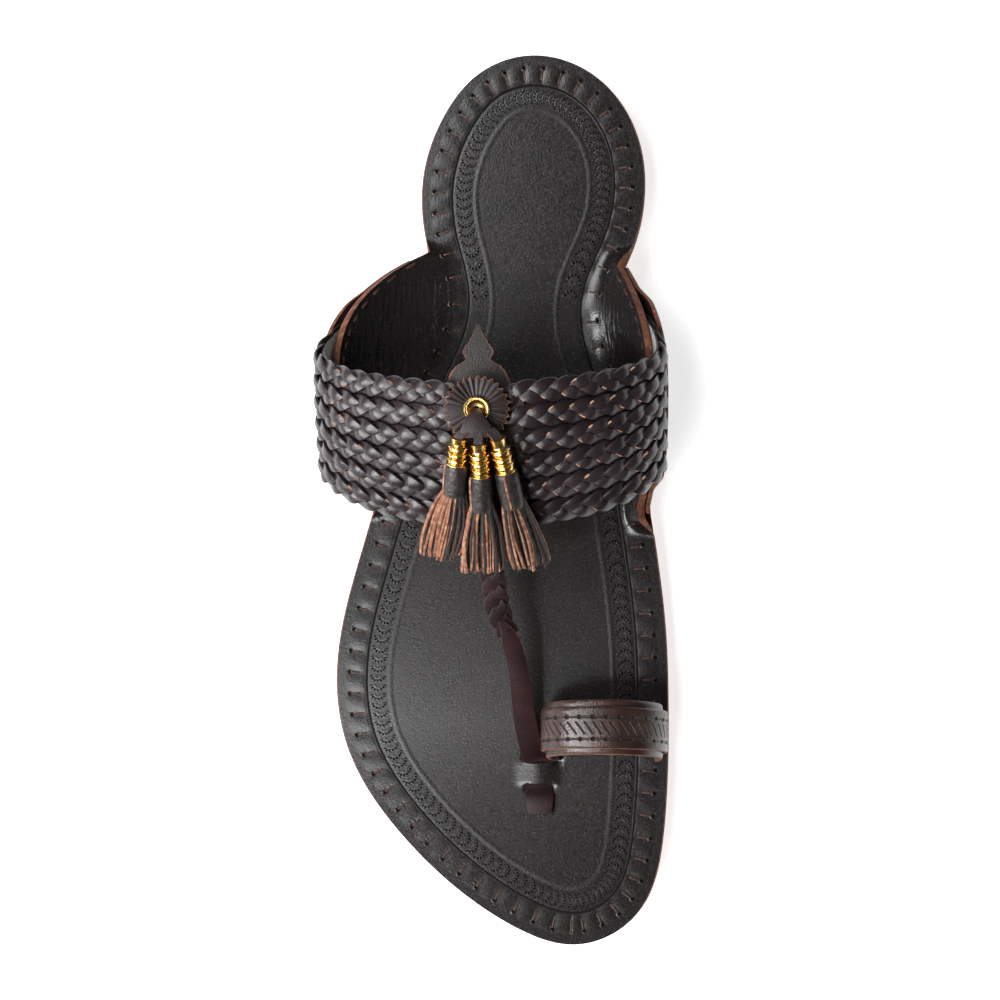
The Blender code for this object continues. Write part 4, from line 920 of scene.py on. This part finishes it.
def band_sheet(name, reach_mm, shares, inner, outer, finishes):
    """A sheet along the band between two distances off the last. reach_mm is how far it goes to the lateral
    and the medial side, or None for the whole band. Its sections run across the band. The first finish is
    on its inner face, a second one on the rest."""
    columns = []
    for side in (-1, 1):
        limit = 1.0 if reach_mm is None else reach_mm[(side + 1) // 2] * MM / BAND_TABLE[side][2].mean()
        steps, places = np.meshgrid(np.linspace(0, limit, 90), shares, indexing="ij")
        below, above = (band_place(side, places, steps, off)[0] for off in (inner, outer))
        ring = np.concatenate([below, above[:, ::-1]], axis=1)
        columns.append(ring[::-1] if side < 0 else ring[1:])
    cuts = [range(len(shares) - 1, 2 * len(shares))][: len(finishes) - 1]
    return make_tubes(name, np.concatenate(columns)[None], finishes, *cuts)


# Split leather lining: pale grey, matt and slightly napped.
greys = [(0.3, "#878a86"), (0.7, "#b3b6b1")]
lining = grained("pale grey split leather lining", 0.9, 0.7, 6, greys, 0.2 * MM)
LINING_LOW, LINING_THICK = EAR_THICK + BAND_GAP, 0.7 * MM
# The lining's inner face is pale grey. Its face under the plaits gets the dark band leather: partly the
# lining's own dark outer side, and partly painted shade for the gaps between the plaits.
backing = band_sheet(
    "band_lining", None, np.linspace(0.015, 0.985, 25), LINING_LOW, LINING_LOW + LINING_THICK,
    [lining, band_leather],
)
middle = band_sheet(
    "uncut_middle", (7.5, 11.5), np.linspace(0.03, 0.97, 25), LINING_LOW + 0.8 * MM, STRIP_MIDDLE + 0.35 * MM,
    [band_leather],
)

# Crown tab
# A tab of grainy leather, cut by hand into a spire over two lobes, sewn under the middle of the band so
# that it lies back over the instep. Its cut edges are raw and hairy.
TAB_X, TAB_AIR, TAB_THICK, TAB_CURL = -0.9 * MM, 0.3 * MM, 1.3 * MM, 0.5 * MM
TAB_MM = np.array([
    # y, half width
    (26.0, 8.6), (31.0, 9.4), (33.6, 9.3), (35.2, 8.7), (37.0, 7.7), (38.4, 6.3), (39.4, 4.4), (40.2, 3.6),
    (41.0, 3.9), (42.4, 4.6), (43.2, 4.3), (44.6, 3.2), (46.4, 2.0), (48.4, 1.1), (50.3, 0.35),
])
CROWN_Y, CROWN_X = np.linspace(-30, 66, 193) * MM, np.linspace(0, 42, 127) * MM


def crown_table(side):
    """Heights of the last near its top, rows of y by columns of distance from the middle."""
    x, z = last_xz(CROWN_Y[:, None], np.linspace(1, 2, 81)[None], side)
    return np.array([np.interp(CROWN_X, (side * row)[::-1], high[::-1]) for row, high in zip(x, z)])


CROWN_TABLE = {side: crown_table(side) for side in (-1, 1)}


def crown_z(x, y):
    """Height of the last above places in plan, from the table of the side on which each lies."""
    x, y = np.broadcast_arrays(np.asarray(x, float), np.asarray(y, float))
    i = (y - CROWN_Y[0]) / (CROWN_Y[1] - CROWN_Y[0])
    j = np.abs(x) / (CROWN_X[1] - CROWN_X[0])
    return np.where(x < 0, read_grid(CROWN_TABLE[-1], i, j), read_grid(CROWN_TABLE[1], i, j))


def crown_slope(x, y):
    """Rise of the last along x and along y, from the heights a step to either side."""
    step = 0.5 * MM
    by_x = (crown_z(x + step, y) - crown_z(x - step, y)) / (2 * step)
    return by_x, (crown_z(x, y + step) - crown_z(x, y - step)) / (2 * step)


def above_last(x, y, height):
    """z of points that lie height off the last, measured square to it: height times the root of 1 and both
    squared slopes."""
    by_x, by_y = crown_slope(x, y)
    return crown_z(x, y) + height * np.sqrt(1 + by_x**2 + by_y**2)


# Shrunken grain leather: dull black, with a coarse pebble about 0.5 mm across.
tab_leather, tree, shader, place = new_finish("shrunken grain leather", 0.5, Specular_IOR_Level=0.35)
pebble = add(tree, "TexVoronoi", place, Scale=2.1 / MM)
finish_shader(tree, shader, pebble, [(0.1, "#2a2220"), (0.7, "#191413")], pebble, -0.13 * MM)

chance = np.random.default_rng(7)
y = np.linspace(TAB_MM[0, 0], TAB_MM[-1, 0], 90)
half = np.interp(y, TAB_MM[:, 0], TAB_MM[:, 1])
columns = []
for side in (-1, 1):
    ragged = half + 0.13 * chance.standard_normal(len(y)) * (y > 33)
    columns.append((TAB_X + side * np.maximum(ragged, 0.15) * MM)[:, None])
across = np.concatenate([[0, 0.03], np.linspace(0.1, 0.9, 11), [0.97, 1]])
last = 2 * len(across) - 1
x = columns[0] + (columns[1] - columns[0]) * across
y = (y * MM)[:, None] * np.ones_like(x)
curl = TAB_AIR + TAB_CURL * smooth(34 * MM, 50 * MM, y)
low, high = (np.stack([x, y, above_last(x, y, curl + up)], axis=-1) for up in (0, TAB_THICK))
sheet = np.concatenate([low, high[:, ::-1]], axis=1)
cut_edge = (len(across) - 1, len(across), last - 1, last)
tab = make_tubes("crown_tab_leather", sheet[None], [tab_leather, raw_edge], cut_edge)
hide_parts("crown_tab")

# Rosette
# A disc of soft leather with a pinked edge, gathered in pleats round its hole and held by the eyelet. The
# teeth are cut through, so their raw edges show as thin orange lines.
ROSETTE_X, ROSETTE_Y = -0.9 * MM, 25.5 * MM
TEETH, ROSETTE_RADIUS, ROSETTE_NOTCH, ROSETTE_HOLE = 29, 9.8 * MM, 8.6 * MM, 2.2 * MM
ROSETTE_DISH, ROSETTE_RINGS = 0.5 * MM, 14
PLAIT_TOP = EAR_THICK + BAND_GAP + BAND_THICK + 1.8 * MM
ROSETTE_LOW, ROSETTE_THICK = PLAIT_TOP + 0.1 * MM, 1.3 * MM
turn = np.linspace(0, 2 * math.pi, TEETH * 14, endpoint=False)[:, None]
saw = 2 * np.abs((turn * TEETH / (2 * math.pi)) % 1 - 0.5)
rim = ROSETTE_NOTCH + (ROSETTE_RADIUS - ROSETTE_NOTCH) * saw
rim = rim + 0.12 * MM * np.sin(5 * turn) * np.sin(3 * turn + 1)
out = np.append(np.linspace(0, 0.965, ROSETTE_RINGS), 1.0)[None]
radius = ROSETTE_HOLE + (rim - ROSETTE_HOLE) * out
pleat = MM * out**0.7 * (0.26 + 0.12 * np.sin(3 * turn + 1)) * (2 * saw - 1)
pleat = pleat + 0.1 * MM * np.sin(11 * turn) * out
x, y = ROSETTE_X + radius * np.cos(turn), ROSETTE_Y + radius * np.sin(turn)
top = above_last(x, y, ROSETTE_LOW + ROSETTE_THICK + pleat - ROSETTE_DISH * (1 - out) ** 2)
low = above_last(x, y, ROSETTE_LOW + pleat)
rings = np.concatenate([np.stack([x, y, top], axis=-1), np.stack([x, y, low], axis=-1)[:, ::-1]], axis=1)
rings = np.concatenate([rings, rings[:1]])[None]
teeth = (ROSETTE_RINGS - 1, ROSETTE_RINGS)
rosette = make_tubes("pinked_rosette", rings, [band_leather, raw_edge], teeth, sharp=60, closed=False)
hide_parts("rosette")

# Eyelet
# A brass eyelet, spun and polished, with a rolled flange and a dished throat. It sits a little tilted,
# pulled down by the tassels that come out of it.
EYELET_MM = (
    # radius, height above the rosette
    (0.7, -1.2), (0.75, -0.5), (1.1, -0.42), (1.7, -0.3), (2.2, -0.05), (2.55, 0.25), (2.75, 0.48),
    (2.86, 0.56), (2.96, 0.56), (3.05, 0.68), (3.2, 0.8), (3.4, 0.83), (3.6, 0.72), (3.78, 0.5),
    (3.86, 0.28), (3.8, 0.08), (3.5, 0.0), (2.7, 0.0), (2.3, -0.6), (2.0, -1.2),
)
EYELET_TILT = 0.06


def turned(profile_mm, start, end, sides):
    """A body of revolution about the line from start to end: a profile of radius and place along it, in mm,
    at each turn, and the first one again."""
    axis = unit(end - start)
    side = unit(np.cross(axis, (0.0, 0.0, 1.0) if abs(axis[2]) < 0.9 else (0.0, 1.0, 0.0)))
    other = np.cross(axis, side)
    turn = np.linspace(0, 2 * math.pi, sides, endpoint=False)[:, None, None]
    radius, along = (np.array(profile_mm) * MM).T[..., None]
    rows = start + axis * along + (side * np.cos(turn) + other * np.sin(turn)) * radius
    return np.concatenate([rows, rows[:1]])[None]


# Polished brass: bright yellow, very slightly uneven in colour and surface.
golds = [(0.35, "#c99c50"), (0.6, "#efca80"), (0.8, "#fbe3ac")]
brass = grained("polished brass", 0.25, 0.5, 5, golds, 0.012 * MM, Metallic=1.0)

seat_z = float(above_last(ROSETTE_X, ROSETTE_Y, ROSETTE_LOW + ROSETTE_THICK - 0.2 * MM))
seat = np.array([ROSETTE_X, ROSETTE_Y, seat_z])
by_x, by_y = (float(value) for value in crown_slope(ROSETTE_X, ROSETTE_Y))
up = unit(np.array([-by_x, -by_y - EYELET_TILT, 1.0]))
eyelet = make_tubes("brass_eyelet", turned(EYELET_MM, seat, seat + up, 48), [brass], sharp=30, closed=False)
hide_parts("eyelet")

# Tassel tongue
# One piece of soft leather comes up through the eyelet, widens like a leaf and is slit into three fingers,
# each pushed into a ferrule.
TONGUE_MM = np.array([
    # x, y, above the plaits, half width, half thickness
    (-1.1, 25.3, 0.2, 1.1, 0.7), (-1.1, 24.8, 1.8, 1.5, 0.75), (-1.0, 23.4, 3.4, 2.4, 0.8),
    (-0.9, 21.6, 4.4, 3.5, 0.85), (-0.7, 19.4, 4.8, 4.5, 0.85), (-0.6, 17.4, 4.7, 4.8, 0.8),
])
TASSELS_MM = {
    # ferrule from x, y, above the plaits, and to; cap's end x, y; fringe's end x, y, z; half spread; seam;
    # share of strips turned over
    "lateral": ((-5.6, 17.3, 5.0), (-6.9, 9.8, 3.6), (-8.0, 0.8), (-14.1, -18.4, 50.5), 6.0, 0.1, 0.4),
    "centre": ((-0.1, 15.6, 5.0), (0.0, 6.4, 3.6), (0.0, -3.6), (-1.4, -23.0, 48.8), 6.6, 0.16, 0.2),
    "medial": ((5.3, 17.0, 5.0), (7.4, 7.6, 3.6), (9.3, -2.4), (13.6, -21.5, 49.0), 5.6, 0.45, 0.15),
}
STRIP_SECTION = np.array([
    (-1.0, -0.6), (-1.0, 0.5), (-0.965, 0.82), (-0.85, 1.0), (0.85, 1.0),
    (0.965, 0.82), (1.0, 0.5), (1.0, -0.6), (0.9, -1.0), (-0.9, -1.0),
])
STRIP_CUTS = (0, 1, 5, 6)  # the section's two edges
FINGER_HALF, FINGER_HALF_THICK = 1.45 * MM, 1.1 * MM


def on_plaits(x, y, height):
    """A point at a height above the plaits' tops, all in millimetres."""
    return np.array([x * MM, y * MM, float(above_last(x * MM, y * MM, PLAIT_TOP + height * MM))])


def drawn(table, count):
    """Rows at even steps of length along the natural cubic through a table whose rows start x, y, z."""
    run = length_along(table[:, :3])
    at = np.linspace(0, run[-1], count)
    return np.stack([spline(run, column)(at) for column in table.T], axis=1)


rows = np.array([(*on_plaits(*row[:3]), row[3] * MM, row[4] * MM) for row in TONGUE_MM])
rows = drawn(rows, 26)
up = np.broadcast_to((0.0, 0.25, 1.0), (1, len(rows), 3))
tubes = [close_ends(sweep(rows[None, :, :3], up, rows[None, :, 3], rows[None, :, 4], STRIP_SECTION))]
for start, end, *_ in TASSELS_MM.values():
    table = np.array([on_plaits(0.62 * start[0], 19.2, 4.5), on_plaits(*start), on_plaits(*end)])
    path = drawn(table, 26)[None]
    tubes.append(close_ends(sweep(path, up, FINGER_HALF, FINGER_HALF_THICK, STRIP_SECTION)))
tubes = np.concatenate(tubes)
tongue = make_tubes("tassel_tongue_leather", tubes, [band_leather, raw_edge], STRIP_CUTS, closed=False)
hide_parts("tassel_tongue")

# Ferrules
# Three short brass tubes, turned with a plain flared collar above and three bulges between four thin rims
# below, and polished. Each hides where a finger of the tongue meets its tassel.
RIMS, BULGE_LONG, RIM_HALF = (0.32, 0.54, 0.76, 0.98), 0.22, 0.03
share = np.linspace(0, 1, 121)
radius = 2.1 + 0.35 * np.clip(1 - share / 0.25, 0, 1) ** 1.5 + 0.25 * smooth(0.22, 0.32, share)
radius += 0.35 * np.where(share > RIMS[0], np.abs(np.sin(math.pi * (share - RIMS[0]) / BULGE_LONG)), 0)
radius += sum(0.72 * np.exp(-(((share - rim) / RIM_HALF) ** 4)) for rim in RIMS)
for name, (start, end, *_) in TASSELS_MM.items():
    top, bottom = on_plaits(*start), on_plaits(*end)
    length = np.linalg.norm(bottom - top) / MM
    profile = [(1.4, 0), *zip(radius, share * length), (1.4, length)]
    rings = turned(profile, top, bottom, 56)
    ferrule = make_tubes("brass_ferrule_" + name, rings, [brass], sharp=60, closed=False)
    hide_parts("ferrule_" + name)

# Tassels
# Each is one strip of dark leather, slit into a fringe along its lower edge and rolled up tight. The roll
# is the cap; its end shows as an orange seam. The slit strips turn and show dark, raw and tan sides.
CAP_RADIUS, CAP_STEP, CAP_SIDES = 3.15 * MM, 0.4 * MM, 44
FRINGE_TOP, FRINGE_LOW, FRINGE_ROOT, FRINGE_HALF_THICK = 15, 12, 2.2 * MM, 0.42 * MM
SQUARE_SECTION = np.array([
    (-1.0, -0.8), (-1.0, 0.8), (-0.8, 1.0), (0.8, 1.0), (1.0, 0.8), (1.0, -0.8), (0.8, -1.0), (-0.8, -1.0),
])

# Soft fringe leather: matt near black grain side.
blacks = [(0.35, "#120e0d"), (0.65, "#271f1d")]
fringe_leather = grained("soft fringe leather", 0.42, 0.5, 5, blacks, 0.4 * MM)
# Flesh side and cuts of the fringe: tan suede, lighter than the old raw edges of the sole.
tans = [(0.3, "#5f3a2b"), (0.55, "#91634c"), (0.75, "#bd957b")]
fringe_flesh = grained("tan flesh side", 0.92, 0.6, 5, tans, 0.15 * MM)

chance = np.random.default_rng(42)
for name, (start, end, cap_end, tip, spread, seam, turned_over) in TASSELS_MM.items():
    top, bottom = on_plaits(*start), on_plaits(*end)
    head = bottom + unit(bottom - top) * 0.1 * MM
    mouth, tip = on_plaits(*cap_end, 3.7), np.array(tip) * MM
    axis = unit(mouth - head)
    across = unit(np.cross(axis, (0.0, 0.0, 1.0)))
    over = np.cross(across, axis)
    turn = np.linspace(0, 2 * math.pi, CAP_SIDES, endpoint=False)
    spiral = CAP_RADIUS + CAP_STEP * turn / (2 * math.pi)
    spiral[0] = CAP_RADIUS + 0.05 * MM
    angle = turn + math.pi * seam
    share = np.linspace(0, 1, 22)[:, None]
    swell = 1 + 0.05 * np.sin(math.pi * share)
    swell = swell - 0.12 * (1 - smooth(0, 0.06, share)) - 0.06 * smooth(0.93, 1, share)
    wrinkle = 1 + 0.012 * np.sin(9 * angle[None] + 14 * share) * np.sin(31 * share)
    radius = spiral[None] * swell * wrinkle
    centre = head + share * (mouth - head)
    ring = across * np.cos(angle)[:, None] + over * (0.93 * np.sin(angle))[:, None]
    cap = close_ends((centre[:, None] + ring[None] * radius[..., None])[None])
    cap_faces, cap_spot = tube_faces(1, cap.shape[1], cap.shape[2])
    cap_ring = np.repeat(np.arange(cap.shape[1] - 1), cap.shape[2])
    cap_finish = np.where((cap_spot == CAP_SIDES - 1) | (cap_ring == 0), 1, 0)
    paths, ups, wides = [], [], []
    for layer, count in enumerate((FRINGE_TOP, FRINGE_LOW)):
        for k in range(count):
            side = 2 * (k + 0.5) / count - 1
            side += 0.35 * chance.uniform(-1, 1) / count
            level = (0.55 - 1.1 * layer) * math.sqrt(max(0.0, 1 - 0.8 * side**2))
            layer_over = level * 2.7 + chance.uniform(-0.5, 0.3)
            root = mouth - FRINGE_ROOT * axis + across * side * 2.9 * MM + over * layer_over * MM
            shorter = chance.uniform(0, 0.09) + 0.05 * side**2
            end_point = tip + across * side * spread * MM * chance.uniform(0.9, 1.08)
            end_point = end_point + over * level * 1.6 * MM + shorter * (mouth - tip)
            t = np.linspace(0, 1, 22)[:, None]
            bow = across * (1.4 * side + chance.normal(0, 0.35)) * MM
            bow = bow + over * chance.normal(0, 0.3) * MM
            wave = across * 0.22 * MM * np.sin(2 * math.pi * (1.3 * t + chance.uniform())) * t
            paths.append(root + (end_point - root) * t + bow * 4 * t * (1 - t) + wave)
            first, twist = chance.uniform(-0.6, 0.6) + 0.5 * side, chance.uniform(-1.1, 1.1)
            first += math.pi * (chance.random() < turned_over)
            angle = (first + twist * t) % (2 * math.pi)
            ups.append(over * np.cos(angle) + across * np.sin(angle))
            wides.append(chance.uniform(0.36, 0.54))
    wide = np.array(wides)[:, None] * MM
    fringe = close_ends(sweep(np.array(paths), np.array(ups), wide, FRINGE_HALF_THICK, SQUARE_SECTION))
    faces, spot = tube_faces(len(fringe), fringe.shape[1], fringe.shape[2], cap[0].shape[0] * cap.shape[2])
    points = np.concatenate([cap.reshape(-1, 3), fringe.reshape(-1, 3)])
    finish = np.where(np.isin(spot, (1, 2, 3)), 0, 1)
    tassel = make_piece(
        "fringe_" + name, points, np.concatenate([cap_faces, faces]), [fringe_leather, fringe_flesh],
        np.concatenate([cap_finish, finish]), sharp=50,
    )
    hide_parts("tassel_" + name)

# Strap
# A flat strip of red brown leather is slit into three and plaited up to the band. Towards the toe it lies
# flat and narrows, dips through the insole, passes under the bridge and ends in a short free tab.
STRAP_MM = np.array([
    # x, y, middle above the footbed, width, thickness
    (0.0, 3.0, 48.3, 6.0, 2.6), (0.1, -7.0, 42.2, 6.6, 2.8), (1.4, -25.0, 32.9, 6.6, 2.8),
    (3.1, -36.5, 26.4, 5.8, 2.4), (5.2, -42.0, 23.3, 5.8, 2.2), (8.2, -59.0, 14.4, 6.6, 1.8),
    (9.9, -75.0, 5.3, 7.4, 1.8),
    (11.0, -80.0, 2.0, 7.6, 1.8), (11.9, -83.2, -1.0, 8.0, 1.8), (12.6, -87.0, -1.2, 8.5, 1.8),
    (12.9, -90.8, -1.1, 8.8, 1.8), (13.1, -94.8, 1.35, 9.0, 1.8), (13.2, -99.5, 1.25, 7.6, 1.8),
])
STRAP_PITCH, STRAP_PLAIT_END = 5.5 * MM, -38 * MM
STRAND_SWAY, STRAND_RISE, STRAND_HALF, STRAND_HALF_THICK = 1.85 * MM, 0.5 * MM, 2.1 * MM, 0.55 * MM
STRAP_HALF_THICK, STRAP_STEP = 0.85 * MM, 0.95 * MM
rows = drawn(STRAP_MM * MM, 420)
path = np.stack([rows[:, 0], rows[:, 1], rows[:, 2] + footbed(rows[:, 1])], axis=1)
run = length_along(path)
forward = unit(np.gradient(path, axis=0))
right = unit(np.cross(forward, (0.0, 0.0, 1.0)))
up = np.cross(right, forward)

# Drum dyed red brown leather: smooth, satin, slightly darker in patches.
strap_leather, tree, shader, place = new_finish("red brown strap leather", 0.5, Specular_IOR_Level=0.2)
pores = add(tree, "TexVoronoi", place, Scale=1.6 / MM)
cloud = add(tree, "TexNoise", place, Scale=0.11 / MM, Detail=5)
height = add(tree, "Math", pores, 0.3, cloud, operation="MULTIPLY_ADD")
browns = [(0.3, "#190c0d"), (0.55, "#251315"), (0.8, "#301b1c")]
finish_shader(tree, shader, cloud, browns, height, 0.25 * MM)

plaited = rows[:, 1] > STRAP_PLAIT_END - 4 * MM
tubes = []
for strip in range(3):
    turn = 2 * math.pi * (run[plaited] / (3 * STRAP_PITCH) + strip / 3 + 0.1)
    ending = smooth(STRAP_PLAIT_END - 3 * MM, STRAP_PLAIT_END + 2 * MM, rows[plaited, 1])[:, None]
    sway = STRAND_SWAY * np.sin(turn)[:, None] * ending + (1 - ending) * (strip - 1) * 1.4 * MM
    line = path[plaited] + right[plaited] * sway
    line = line + up[plaited] * (STRAND_RISE * np.sin(2 * turn)[:, None] * ending - 0.3 * MM * (1 - ending))
    line = line[::2]
    tubes.append(sweep(line[None], up[plaited][None, ::2], STRAND_HALF, STRAND_HALF_THICK, STRIP_SECTION))
strap_plait = make_tubes("strap_plait", np.concatenate(tubes), [strap_leather, strip_edge], (0, 6), sharp=50)
flat_end = STRAP_PLAIT_END + 1.5 * MM
flat = rows[:, 1] < flat_end
half = rows[flat, 3] / 2 * (0.12 + 0.88 * np.clip((flat_end - rows[flat, 1]) / (7 * MM), 0, 1) ** 0.75)
line = path[flat] + up[flat] * (STRAP_STEP * smooth(-50 * MM, STRAP_PLAIT_END, rows[flat, 1]))[:, None]
rings = sweep(line[None], up[flat][None], half[None], STRAP_HALF_THICK, STRIP_SECTION)
strap = make_tubes("strap_flat", rings, [strap_leather, raw_edge, strip_edge], (0, 1), (5, 6))

# Toe loop
# Two strips of red brown leather sewn on each other with two rows of stitches, with slanted cuts pressed
# between them, bent over the big toe and pushed through slits in the insole. All edges are cut and raw.
LOOP_Y, LOOP_LEAN = -74.8 * MM, 0.2
LOOP_WIDTH, LOOP_THICK = 16.6 * MM, 1.6 * MM
OVERLAY_WIDTH, OVERLAY_THICK = 12.6 * MM, 1.5 * MM
LOOP_MM = np.array([
    # x of the strip's middle, y, height above the footbed
    (18.5, 0, -2.7), (18.2, 0, 2.0), (17.0, 0, 8.0), (16.8, 0, 14.0), (19.7, 0, 20.8), (26.0, 0, 25.4),
    (33.8, 0, 26.7), (41.6, 0, 25.4), (48.0, 0, 20.8), (51.0, 0, 14.0), (51.0, 0, 8.0), (50.2, 0, 2.0),
    (49.8, 0, -2.7),
])
SEAM_OFF, HOLE_PITCH, HOLE_START = 3.35 * MM, 3.65 * MM, 1.8 * MM
CUT_PITCH, CUT_SLANT, CUT_HALF = 2.4 * MM, 0.62, 2.0 * MM
rows = drawn(LOOP_MM * MM, 240)
leaned = LOOP_Y + LOOP_LEAN * np.maximum(rows[:, 2], 0)
path = np.stack([rows[:, 0], leaned, footbed(LOOP_Y) + rows[:, 2]], axis=1)
run = length_along(path)
up = unit(np.cross((0.0, -1.0, 0.0), unit(np.gradient(path, axis=0))))

# The sewn strip's leather: the same red brown, with stitch holes 3.65 mm apart, 3.35 mm to each side of the
# middle, and slanted cuts 2.4 mm apart between the rows. What is pressed in is dull, and painted darker as
# shade in its hollows.
sewn_leather, tree, shader, place = new_finish("sewn red brown leather", 0.33)
pattern = add(tree, "UVMap", uv_map="pattern")
along, across = (add(tree, "SeparateXYZ", pattern, out=axis) for axis in "XY")
side = add(tree, "Math", across, operation="ABSOLUTE")
off = add(tree, "Math", side, SEAM_OFF, operation="SUBTRACT")
seam_line = stroke(tree, off, 0.0, 0.1 * MM, 0.4 * MM, 0.5)
hole = add(tree, "Math", along, HOLE_PITCH, operation="FLOORED_MODULO")
hole = add(tree, "Math", hole, HOLE_START, operation="SUBTRACT")
hole = dimple(tree, hole, off, 0.4 * MM, 0.75 * MM, 1.3)
cut = add(tree, "Math", across, -CUT_SLANT, along, operation="MULTIPLY_ADD")
cut = add(tree, "Math", cut, CUT_PITCH, operation="FLOORED_MODULO")
cut = stroke(tree, cut, CUT_PITCH / 2, 0.12 * MM, 0.45 * MM, 0.8)
within = add(tree, "Math", side, CUT_HALF, operation="LESS_THAN")
cut = add(tree, "Math", cut, within, operation="MULTIPLY")
pressed = seam_line
for mark in (hole, cut):
    pressed = add(tree, "Math", pressed, mark, operation="MAXIMUM")
pores = add(tree, "TexVoronoi", place, Scale=1.5 / MM)
cloud = add(tree, "TexNoise", place, Scale=0.13 / MM, Detail=5)
height = add(tree, "Math", pores, 0.2, operation="MULTIPLY")
height = add(tree, "Math", height, pressed, operation="SUBTRACT")
# Painted shade: the holes, seam lines and cuts are darkened in colour, as if shade fell into them.
shade = add(tree, "Math", pressed, -0.7, cloud, operation="MULTIPLY_ADD")
browns = [(0.05, "#0b0605"), (0.4, "#291814"), (0.75, "#402a24")]
finish_shader(tree, shader, shade, browns, height, 0.4 * MM)
rough = add(tree, "Math", pressed, 0.5, 0.33, operation="MULTIPLY_ADD")
tree.links.new(rough, shader.inputs["Roughness"])

# The base strip's pattern is moved aside, past the seams, so that only the strip on it shows them.
OVERLAY_LIFT = LOOP_THICK / 2 + 0.1 * MM + OVERLAY_THICK / 2
for name, width, thick, lift, lowest, aside in (
    ("toe_loop", LOOP_WIDTH, LOOP_THICK, 0.0, -2.6 * MM, 50 * MM),
    ("toe_loop_overlay", OVERLAY_WIDTH, OVERLAY_THICK, OVERLAY_LIFT, 0.2 * MM, 0),
):
    kept = rows[:, 2] > lowest
    line = (path + up * lift)[kept]
    rings = sweep(line[None], up[kept][None], width / 2, thick / 2, STRIP_SECTION)
    sideways = aside + STRIP_SECTION[:, 0] * width / 2
    pattern = np.stack(np.broadcast_arrays(run[kept][:, None], sideways), axis=-1)
    pattern = np.concatenate([pattern[:1], pattern, pattern[-1:]])
    loop = make_tubes("leather_" + name, rings, [sewn_leather, raw_edge], (0, 5, 6), uv=pattern)
    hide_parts(name)

# Camera, light and floor
# The sandal lies on a white studio floor. Three soft lights stand on its lateral side and a weak fill on
# the medial one. The camera looks straight down from a little to the medial side, as in the photograph.
FLOOR_HALF, FLOOR_Z = 15, -1e-4
# Studio paper: white, matt, and as bright as an exposed backdrop.
floor_finish = grained(
    "white studio paper", 0.9, 0.004, 2, [(0.3, "#f4f4f4"), (0.7, "#f7f7f7")], 0,
    Emission_Color=(1, 1, 1, 1), Emission_Strength=0.75,
)
corners = [(FLOOR_HALF * x, FLOOR_HALF * y, FLOOR_Z) for x, y in ((-1, -1), (1, -1), (1, 1), (-1, 1))]
mesh = bpy.data.meshes.new("studio_floor")
mesh.from_pydata(corners, [], [(0, 1, 2, 3)])
mesh.materials.append(floor_finish)
floor = bpy.data.objects.new("studio_floor", mesh)
bpy.context.scene.collection.objects.link(floor)


def aim(thing, place, target, up):
    """Puts a camera or lamp at a place and turns it to a target, with up as the top of its picture."""
    back = unit(np.subtract(place, target))
    right = unit(np.cross(up, back))
    matrix = np.eye(4)
    matrix[:3] = np.stack([right, np.cross(back, right), back, place], axis=1)
    thing.matrix_world = Matrix(matrix.tolist())


for name, place, size, energy in (
    ("softbox left", (-0.9, -0.3, 0.8), 0.5, 16),
    ("softbox lower left", (-0.47, -0.54, 1.1), 0.7, 14),
    ("softbox upper left", (-0.52, 0.40, 1.1), 0.6, 8),
    ("fill right", (0.9, 0.1, 0.9), 0.8, 0.3),
):
    lamp = bpy.data.lights.new(name, "AREA")
    lamp.shape = "SQUARE"
    lamp.size = size
    lamp.energy = energy
    light = bpy.data.objects.new(name, lamp)
    bpy.context.scene.collection.objects.link(light)
    aim(light, place, (0, 0, 0.02), (0, 1, 0.01))
world = bpy.data.worlds.new("white studio")
world.use_nodes = True
world.node_tree.nodes["Background"].inputs["Color"].default_value = (1, 1, 1, 1)
world.node_tree.nodes["Background"].inputs["Strength"].default_value = 0.03
bpy.context.scene.world = world
bpy.context.scene.view_settings.view_transform = "Standard"

VIEW_ANGLE, SENSOR_MM = math.radians(27.6), 36
CAMERA_PLACE, CAMERA_TARGET = (0.0595, -0.0033, 0.655), (0.0005, -0.0005, 0.012)
camera_data = bpy.data.cameras.new("camera")
camera_data.sensor_width = SENSOR_MM
camera_data.lens = SENSOR_MM / (2 * math.tan(VIEW_ANGLE / 2))
camera = bpy.data.objects.new("camera", camera_data)
bpy.context.scene.collection.objects.link(camera)
aim(camera, CAMERA_PLACE, CAMERA_TARGET, (0, 1, 0))
bpy.context.scene.camera = camera
